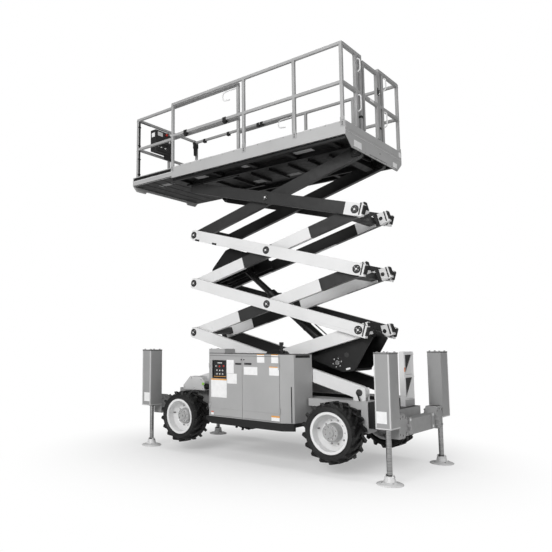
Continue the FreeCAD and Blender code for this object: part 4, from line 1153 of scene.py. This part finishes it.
# Scissor arms
def arm_details(kind, level):
    body = "%s_%d" % (kind, level)
    spot = (on_outer if kind == "outer" else on_inner)(level)
    form = Form("dark_paint_and_shade", at=spot)
    heads = []
    for side in SIDES:
        out = Vector((0, side, 0))
        if kind == "outer":
            ends = [ARM / 2] + ([0] if level > 1 else []) + ([ARM] if level < 4 else [])
            for along in ends:
                form.use("dark_paint_and_shade").boss((along, side * (OUTER_FACE - 1), 0), out, 52, 6, 2, 28)
                form.use("seal_rubber").ring((along, side * (OUTER_FACE + 4), 0), out, 44, 2.5, 28, 6)
                form.use("arm_paint").boss((along, side * (OUTER_FACE + 10), 0), out, 13, 5, 1.5, 16)
                heads += [(spot(along + 30 * math.cos(a), side * (OUTER_FACE + 11), 30 * math.sin(a)), out)
                          for a in (math.pi / 2 * i + 0.4 for i in range(4))]
            if level == 1:
                form.use("dark_paint_and_shade").boss((0, side * 451, 0), out, 40, 8, 2, 24)
            if level == 3:
                form.use("black_paint")
                for along in (2260, 2600):
                    form.block((along - 42, along + 42), (side * 372, side * (OUTER_FACE + 2)), (-ARM_HALF - 1, -ARM_HALF + 26))
        near, far = (OUTER_FACE - 64, OUTER_FACE) if kind == "outer" else (INNER_FACE, INNER_FACE + 64)
        ear = level > 1 if kind == "outer" else level < 4
        if ear:
            # the ear past an arm's rear end, the rubber bumper that stands across it, and its hook
            sign = -1 if kind == "outer" else 1
            tip = 0 if kind == "outer" else ARM
            # the fourth inner arms' ears are dark as painted shade, like their arms
            form.use("dark_paint_and_shade" if (kind, level) == ("inner", 4) else "arm_paint")
            form.block((tip + sign * 30, tip + sign * 104), (side * (near + 0.4), side * (far - 0.4)), (-73, 73))
            form.use("seal_rubber")
            form.block((tip + sign * 58, tip + sign * 74), (side * (near - 2), side * (far + 3)), (-60, 74))
            form.block((tip + sign * 96, tip + sign * 112), (side * (near - 1), side * (far + 1)), (-44, 62))
            form.use("arm_paint").block((tip + sign * 14, tip + sign * 52), (side * (far - 1), side * (far + 3)), (56, 74))
        # weld beads and cover strips along the arm's edges, in the arm's paint or its painted shade
        form.use(OUTER_SHADE_ZONES[level][-1][2] if kind == "outer" else INNER_SHADE_ZONES[level][0][2])
        if kind == "outer":
            form.block((180, 1180), (side * (far - 0.5), side * (far + 1.2)), (-ARM_HALF + 6, -ARM_HALF + 10))
            form.block((1500, 2560), (side * (far - 0.5), side * (far + 1.2)), (-ARM_HALF + 6, -ARM_HALF + 10))
    if kind == "outer" or level < 4:
        form.piece("%s_fittings_%d" % (kind, level), body, "arm_paint", 0.8)
    if heads:
        bolts("pin_bolts_%d" % level, body, "chrome_rod", heads, 6, 4, 8)


def scissor_details():
    for level in range(1, 5):
        arm_details("outer", level)
        arm_details("inner", level)
    # bosses and bolts on the cylinder brackets
    lower = on_inner(1)
    form = Form("black_paint", at=lower)
    x, z = ARM - 484, -272
    heads = []
    for side in SIDES:
        out = Vector((0, side, 0))
        face = side * 222
        form.use("black_paint").boss((x, face - side, z), out, 78, 3, 1, 28)
        form.use("bolt_zinc").boss((x, face + side, z), out, 30, 3, 1, 20)
        form.use("dark_paint_and_shade").boss((x + 150, face - side, z + 60), out, 30, 4, 1, 20)
        form.use("label_white").block((x + 92, x + 150), (face, face + side * 2), (z - 118, z - 96))
        heads += [(lower(x + 56 * math.cos(a), face + side, z + 56 * math.sin(a)), out)
                  for a in (math.pi / 3 * i for i in range(6))]
        form.use("black_paint").block((x - 560, x + 120), (face - side, face + side * 4), (-96, -82))
    form.piece("lower_bracket_fittings", "inner_1", "black_paint", 1.0)
    bolts("lower_bracket_bolts", "inner_1", "chrome_rod", heads, 8, 2, 11)
    upper = on_inner(3)
    form = Form("black_paint", at=upper)
    heads = []
    for side in SIDES:
        out = Vector((0, side, 0))
        face = side * 222
        form.use("black_paint").boss((656, face - side, 23), out, 72, 10, 3, 28)
        form.use("bolt_zinc").boss((656, face + side * 8, 23), out, 28, 8, 3, 20)
        heads += [(upper(656 + 52 * math.cos(a), face + side * 9, 23 + 52 * math.sin(a)), out)
                  for a in (math.pi / 3 * i for i in range(6))]
    form.piece("upper_bracket_fittings", "inner_3", "black_paint", 1.0)
    bolts("upper_bracket_bolts", "inner_3", "chrome_rod", heads, 8, 6, 11)


# Lift cylinder
def cylinder_details():
    x0, _, z0 = on_inner(1)(ARM - 484, 0, -272)
    x1, _, z1 = on_inner(3)(656, 0, 23)
    reach = math.hypot(x1 - x0, z1 - z0)
    run = ((x1 - x0) / reach, (z1 - z0) / reach)

    def at(along, y, above):
        return x0 + along * run[0] - above * run[1], y, z0 + along * run[1] + above * run[0]

    form = Form("black_paint", at=at)
    mouth = 1560 - 105
    for start, radius in ((120, 67), (700, 66), (mouth - 90, 68)):
        form.use("black_paint").turned((start, 0, 0), (1, 0, 0), ((0, 62), (3, radius), (25, radius), (28, 62)), 32)
    form.use("bolt_zinc").turned((mouth - 0.5, 0, 0), (1, 0, 0), ((0, 60), (5, 60), (7, 50)), 32)
    form.use("black_paint").block((150, 210), (-34, 34), (58, 88))
    form.block((mouth - 160, mouth - 100), (-30, 30), (58, 86))
    form.use("chrome_rod").pipe([(180, 12, 86), (180, 12, 104), (mouth - 130, 12, 104), (mouth - 130, 12, 84)], 8, 24)
    form.use("hose_rubber").pipe([(160, -14, 86), (160, -14, 120), (60, -14, 130), (-30, -14, 100)], 11, 36)
    form.piece("cylinder_fittings", "cylinder_barrel", "black_paint", 1.0)


# Platform
def deck_details():
    form = Form("panel_paint")
    lip = TOE_TOP
    for side in SIDES:
        # folded lip on the toe board, dark lower hem, pale band along its top
        form.use("panel_paint").block((DECK_REAR + 30, DECK_FRONT - 6), (side * 776, side * 789), (lip - 5, lip - 0.5))
        form.use("black_paint").block((DECK_REAR + 4, DECK_FRONT - 4), (side * 799.2, side * 801.5), (FLOOR - 25, FLOOR - 17))
        form.use("pale_paint_and_highlight").block((DECK_REAR + 4, DECK_FRONT - 4), (side * 799.5, side * 802), (lip - 9, lip - 1))
    # the rear end plate: pale band, light line, bare white plates, grey lower panel
    face = DECK_REAR
    form.use("pale_paint_and_highlight").block((face - 5, face + 1), (-798, 798), (FLOOR + 24, FLOOR + 30))
    form.use("panel_paint").block((face - 3, face + 1), (-796, 796), (FLOOR + 60, TOE_TOP - 6))
    form.use("label_white").block((face - 3, face + 1), (395, 585), (FLOOR - 112, FLOOR - 34))
    form.block((face - 5, face - 2), (-788, -712), (FLOOR + 66, TOE_TOP - 20))
    form.block((face - 3, face + 1), (-640, -520), (FLOOR - 112, FLOOR - 50))
    form.use("black_paint").block((face - 3, face + 1), (-300, 180), (FLOOR - 120, FLOOR - 116))
    form.use("bolt_zinc").boss((face + 1, -120, FLOOR - 40), (-1, 0, 0), 9, 5, 1, 16)
    # channels and cross pieces under the deck, black as painted shade, and bare plates, clear of the arms
    under = FLOOR - 20
    for side in SIDES:
        form.use("black_paint").block((DECK_REAR + 14, DECK_FRONT - 10), (side * 452, side * 466), (under - 60, under + 1))
        form.block((DECK_REAR + 14, DECK_FRONT - 10), (side * 466, side * 486), (under - 60, under - 54))
    for x in range(-1240, 1300, 310):
        form.use("black_paint").block((x, x + 14), (-262, 262), (under - 34, under + 1))
        form.block((x + 14, x + 30), (-262, 262), (under - 34, under - 29))
    form.use("beam_paint")
    for x, y in (((-860, -560), (520, 615)), ((380, 560), (-262, -120)), ((-200, 40), (-262, -170)),
                 ((60, 250), (505, 590)), ((900, 1090), (500, 600))):
        form.block(x, y, (under - 4, under + 1))
    form.use("bolt_zinc").pipe([(-1180, -380, under - 8), (-1180, -470, under - 8)], 7)
    form.piece("deck_trim", "platform", "grey_paint", 0.8)
    treads("deck_treads", "platform", "grey_paint", "beam_paint", (DECK_REAR + 45, DECK_FRONT - 30), (-567, 567),
           FLOOR, 42.0)
    rivets = [((x, side * 800, TOE_TOP - 14), (0, side, 0)) for side in SIDES
              for x in [DECK_REAR + 60 + 197 * i for i in range(14)]]
    rivets += [((face, y, FLOOR - 128), (-1, 0, 0)) for y in range(-600, 700, 150)]
    bolts("deck_rivets", "platform", "chrome_rod", rivets, 4, 2.5, 6, "bolt_zinc", 10)


def rail_details():
    form = Form("rail_paint")
    heads = []
    posts = (-1393.0, -742.0, 41.0, DECK_FRONT - 19)
    for side in SIDES:
        y = side * 794
        for x in posts:
            # saddle plates that hold the posts on the toe boards
            form.use("rail_paint").block((x - 30, x + 30), (side * 800, side * 804), (TOE_TOP - 70, TOE_TOP + 46))
            heads += [((x, side * 804, z), (0, side, 0)) for z in (TOE_TOP - 48, TOE_TOP - 22)]
            # welded bands round the post at the mid rail and under the top rail
            for z in (MID_RAIL, TOP_RAIL):
                form.block((x - 21.5, x + 21.5), (y - 21.5, y + 21.5), (z - 27, z - 20))
        # black hinge clamps under the mid rail
        form.use("seal_rubber")
        for x in (1088, 361):
            form.block((x - 34, x + 34), (y - 24, y + 24), (MID_RAIL - 40, MID_RAIL - 19))
            form.block((x - 18, x + 18), (y - 18, y + 18), (MID_RAIL - 62, MID_RAIL - 38))
            form.block((x - 30, x + 30), (y - 24.5, y + 24.5), (MID_RAIL - 20, MID_RAIL + 24))
    form.piece("side_rail_fittings", "platform", "rail_paint", 0.8)
    bolts("rail_bolts", "platform", "chrome_rod", heads, 7, 6, 10)
    # the rear rails: chain hooks, hand grips beside the gate
    form = Form("arm_paint")
    back = -1393.0
    for y in (440, -300):
        form.use("arm_paint").pipe([(back - 20, y - 30, MID_RAIL - 40), (back - 52, y - 30, MID_RAIL - 60),
                                    (back - 52, y - 30, MID_RAIL - 230), (back - 20, y - 30, MID_RAIL - 250)], 8, 26)
        form.pipe([(back - 20, y - 30, TOP_RAIL - 60), (back - 52, y - 30, TOP_RAIL - 80),
                   (back - 52, y - 30, TOP_RAIL - 210), (back - 20, y - 30, TOP_RAIL - 230)], 8, 26)
    form.use("rail_paint")
    for y in (320, 440, 740, -200, -300, -740):
        for z in (MID_RAIL, TOP_RAIL):
            form.block((back - 21.5, back + 21.5), (y - 21.5, y + 21.5), (z - 27, z - 20))
    form.use("seal_rubber")
    for y in (320, -200):
        form.block((back - 22, back + 22), (y - 22, y + 22), (TOE_TOP + 160, TOE_TOP + 190))
    form.piece("rear_rail_fittings", "platform", "rail_paint", 0.8)


def gate_details():
    back = -1393.0
    form = Form("black_paint")
    form.block((back - 26, back - 19), (-172, -128), (MID_RAIL + 130, MID_RAIL + 230))
    form.use("bolt_zinc").pipe([(back - 24, -150, MID_RAIL + 215), (back - 44, -150, MID_RAIL + 200),
                                (back - 44, -150, MID_RAIL + 150), (back - 24, -150, MID_RAIL + 140)], 5, 12)
    form.use("label_white").block((back - 22, back - 19), (-20, 90), (MID_RAIL - 16, MID_RAIL + 16))
    form.piece("gate_fittings", "gate", "rail_paint", 0.8)


def roll_out_details():
    floor = FLOOR + 35
    form = Form("black_paint")
    half = 772.0
    for side in SIDES:
        # the slot in the side beam with its light strip, and the beam's foot
        form.use("pale_paint_and_highlight").block((DECK_FRONT - 40, NOSE - 22), (side * (half - 0.5), side * (half + 1.5)),
                                     (floor + 47, floor + 59))
        form.use("black_paint").block((DECK_FRONT - 60, NOSE - 22), (side * (half - 0.5), side * (half + 1)),
                                      (floor - 22, floor - 12))
    form.use("black_paint")
    for x in range(int(DECK_FRONT) + 60, int(NOSE) - 60, 190):
        form.block((x, x + 40), (-740, 740), (FLOOR + 6, floor - 24))
    form.use("beam_paint").block((1610, 1880), (460, 560), (FLOOR + 6, floor - 24))
    form.use("pale_paint_and_highlight").block((NOSE - 4, NOSE - 0.2), (-740, 740), (floor + 80, floor + 88))
    form.piece("roll_out_trim", "extension", "grey_paint", 0.8)
    treads("roll_out_treads", "extension", "grey_paint", "beam_paint", (ROLL_OUT_REAR + 60, NOSE - 60), (-735, 735),
           floor, 42.0)
    y = 700.0
    rear = ROLL_OUT_REAR + 54
    front = NOSE - 20 - 20 - 0.3
    form = Form("arm_paint")
    for side in SIDES:
        # white grab loops on the rear posts, bands and foot plates
        form.use("arm_paint").pipe([(rear + 18, side * y, TOP_RAIL - 45), (rear + 275, side * y, TOP_RAIL - 45),
                                    (rear + 275, side * y, TOP_RAIL - 165), (rear + 150, side * y, TOP_RAIL - 178)], 9, 70)
        form.use("rail_paint")
        for x in (rear, front):
            for z in (MID_RAIL, TOP_RAIL):
                form.block((x - 21.5, x + 21.5), (side * y - 21.5, side * y + 21.5), (z - 27, z - 20))
            form.block((x - 34, x + 34), (side * y - 34, side * y + 34), (floor, floor + 8))
    # clamps on the right top rail and the moulded holder that hangs from it
    form.use("seal_rubber")
    for x in (793, 860, 2009, 1480):
        form.block((x - 26, x + 26), (-y - 23, -y + 23), (TOP_RAIL - 44, TOP_RAIL + 19))
    form.block((front - 22, front + 22), (-642, -622), (TOP_RAIL - 46, TOP_RAIL + 19))
    pouch = ((-680, TOP_RAIL - 50), (-584, TOP_RAIL - 50), (-578, TOP_RAIL - 130), (-594, TOP_RAIL - 150),
             (-598, TOP_RAIL - 262), (-634, TOP_RAIL - 272), (-650, TOP_RAIL - 150), (-684, TOP_RAIL - 120))
    form.plate("x", pouch, front - 58, front - 22)
    # the control lead in its conduit down the near front post
    form.use("hose_rubber")
    for shift in (-14, 8):
        form.pipe([(front - 27, y + shift, TOP_RAIL - 30), (front - 27, y + shift, floor + 60),
                   (front - 60, y + shift - 10, floor + 20), (front - 140, y + shift - 10, floor + 12)], 6.5, 40)
    for z in (TOP_RAIL - 120, MID_RAIL + 60, MID_RAIL - 160, floor + 180):
        form.block((front - 36, front - 18), (y - 25, y + 22), (z - 9, z + 9))
    form.pipe([(front - 27, y - 10, TOP_RAIL - 40), (front - 27, y - 60, TOP_RAIL - 36), (front - 27, 460, TOP_RAIL - 36)], 6.5, 30)
    form.piece("roll_out_rail_fittings", "extension", "rail_paint", 0.8)


def control_details():
    """The platform control box: grip, switches, a bare light plate, and the board's white plate."""
    face = NOSE - 20 - 0.3 - 40 - 0.3
    back = face - 120
    top = TOP_RAIL - 103
    low = top - 351
    form = Form("control_plastic")
    form.block((back - 8, back + 1), (160, 437), (low + 12, top - 12))
    form.use("pale_paint_and_highlight").block((back - 11, back - 7), (300, 410), (top - 96, top - 30))
    form.use("seal_rubber").block((back - 16, back - 7), (172, 425), (low + 120, low + 150))
    out = (-1, 0, 0)
    form.turned((back - 8, 235, top - 120), out, ((0, 30), (8, 30), (16, 14), (60, 13), (66, 22), (100, 22), (108, 14)), 20)
    form.use("red_button").boss((back - 8, 215, top - 46), out, 20, 20, 4, 20)
    for y in (200, 245, 290, 335, 380):
        form.use("bolt_zinc").ring((back - 8, y, low + 70), out, 12, 1.8, 16, 6)
        form.use("white_button" if y in (245, 335) else "control_plastic").boss((back - 9, y, low + 70), out, 9, 16, 2, 14)
    form.use("control_plastic").block((back + 6, face - 6), (449.5, 453), (low + 30, top - 30))
    form.use("label_white").block((back + 20, face - 30), (452.5, 454), (top - 120, top - 50))
    form.use("label_white").block((face - 9, face - 5.5), (0, 120), (TOP_RAIL - 210, TOP_RAIL - 120))
    form.use("label_orange").block((face - 9, face - 5.5), (0, 120), (TOP_RAIL - 120, TOP_RAIL - 108))
    form.piece("platform_switches", "extension", "control_plastic", 1.0)


def chassis_details():
    """Pipes and fittings round the rear pivots and under the frame."""
    form = Form("hose_rubber")
    for side in SIDES:
        form.use("hose_rubber").pipe([(REAR_PIN + 30, side * 458, 900), (REAR_PIN - 20, side * 500, 850),
                                      (REAR_PIN - 60, side * 520, 700), (REAR_PIN - 30, side * 500, 560),
                                      (REAR_PIN + 60, side * 400, 500)], 9, 60)
        form.use("bolt_zinc").boss((REAR_PIN, side * 452, BASE_PIN), (0, side, 0), 34, 6, 2, 24)
        # gussets between the outboard deck and its post
        form.use("panel_paint").block((-1395, -745), (side * 545, side * 561.5), (FRAME_TOP - 6, FRAME_TOP + 1.2))
    # drive casings: ribs and a drain plug on each axle
    for x in WHEELS.values():
        form.use("black_paint")
        for y in (-46, 0, 46):
            form.turned((x, y - 5, AXLE_HEIGHT), (0, 1, 0), ((0, 107.5), (2, 112), (8, 112), (10, 107.5)), 32)
        form.turned((x - 104, 0, AXLE_HEIGHT), (-1, 0, 0), ((0, 46), (34, 46), (40, 30), (74, 30)), 24)
        form.use("bolt_zinc").bar((x, 30, AXLE_HEIGHT - 96), (x, 30, AXLE_HEIGHT - 108), 12, 8)
    form.piece("frame_fittings", "chassis", "black_paint", 0.8)


frame_forms()
pod_forms()
ladder_form()
outrigger_forms()
bracket_forms()
deck_forms()
roll_out_forms()
wheel_details()
pod_details()
ground_panel()
cover_details()
chassis_details()
outrigger_details()
ladder_details()
scissor_details()
cylinder_details()
deck_details()
rail_details()
gate_details()
roll_out_details()
control_details()


# Floor, lights and background
def soft_floor():
    """A pale floor that keeps the machine's shadow and fades into the white background."""
    form = bmesh.new()
    bmesh.ops.create_grid(form, x_segments=8, y_segments=8, size=40)
    mesh = bpy.data.meshes.new("floor")
    form.to_mesh(mesh)
    form.free()
    floor = bpy.data.objects.new("floor", mesh)
    bpy.context.scene.collection.objects.link(floor)
    material, tree, shader = finish("floor")
    toned = ramp(tree, noise(tree, 0.7, 3.0), 0.3, 0.7, (0.93,) * 3, (0.95,) * 3)
    tree.links.new(toned, shader.inputs["Base Color"])
    shader.inputs["Roughness"].default_value = 0.9
    shader.inputs["Specular IOR Level"].default_value = 0.1
    where = tree.nodes.new("ShaderNodeTexCoord")
    reach = tree.nodes.new("ShaderNodeVectorMath")
    reach.operation = "LENGTH"
    tree.links.new(where.outputs["Object"], reach.inputs[0])
    fade = tree.nodes.new("ShaderNodeMapRange")
    fade.interpolation_type = "SMOOTHSTEP"
    fade.inputs["From Min"].default_value = 0.9
    fade.inputs["From Max"].default_value = 3.6
    fade.inputs["To Min"].default_value = 0.35
    tree.links.new(reach.outputs["Value"], fade.inputs["Value"])
    paths = tree.nodes.new("ShaderNodeLightPath")
    seen = tree.nodes.new("ShaderNodeMath")
    seen.operation = "MULTIPLY"
    tree.links.new(fade.outputs["Result"], seen.inputs[0])
    tree.links.new(paths.outputs["Is Camera Ray"], seen.inputs[1])
    white = tree.nodes.new("ShaderNodeEmission")
    mix = tree.nodes.new("ShaderNodeMixShader")
    tree.links.new(seen.outputs["Value"], mix.inputs["Fac"])
    tree.links.new(shader.outputs["BSDF"], mix.inputs[1])
    tree.links.new(white.outputs["Emission"], mix.inputs[2])
    tree.links.new(mix.outputs["Shader"], tree.nodes["Material Output"].inputs["Surface"])
    mesh.materials.append(material)
    return floor


def soft_light(name, at, target, size, watts):
    lamp = bpy.data.lights.new(name, "AREA")
    lamp.shape = "RECTANGLE"
    lamp.size, lamp.size_y = size
    lamp.energy = watts
    thing = bpy.data.objects.new(name, lamp)
    bpy.context.scene.collection.objects.link(thing)
    thing.location = at
    thing.rotation_euler = (Vector(target) - Vector(at)).to_track_quat("-Z", "Y").to_euler()
    return thing


soft_floor()
soft_light("key", (-2.0, 12.0, 6.5), (0, 0, 2.2), (6, 5), 1120)
soft_light("fill", (-10.0, 1.0, 4.0), (0, 0, 2.2), (5, 5), 190)
soft_light("top", (0, 0, 11.0), (0, 0, 0), (7, 6), 330)

world = bpy.data.worlds.new("studio")
bpy.context.scene.world = world
world.use_nodes = True
sky = world.node_tree
backdrop = sky.nodes["Background"]
backdrop.inputs["Color"].default_value = (1, 1, 1, 1)
paths = sky.nodes.new("ShaderNodeLightPath")
strength = sky.nodes.new("ShaderNodeMapRange")
strength.inputs["To Min"].default_value = 0.2
strength.inputs["To Max"].default_value = 1.0
sky.links.new(paths.outputs["Is Camera Ray"], strength.inputs["Value"])
sky.links.new(strength.outputs["Result"], backdrop.inputs["Strength"])

scene = bpy.context.scene
scene.view_settings.view_transform = "Standard"
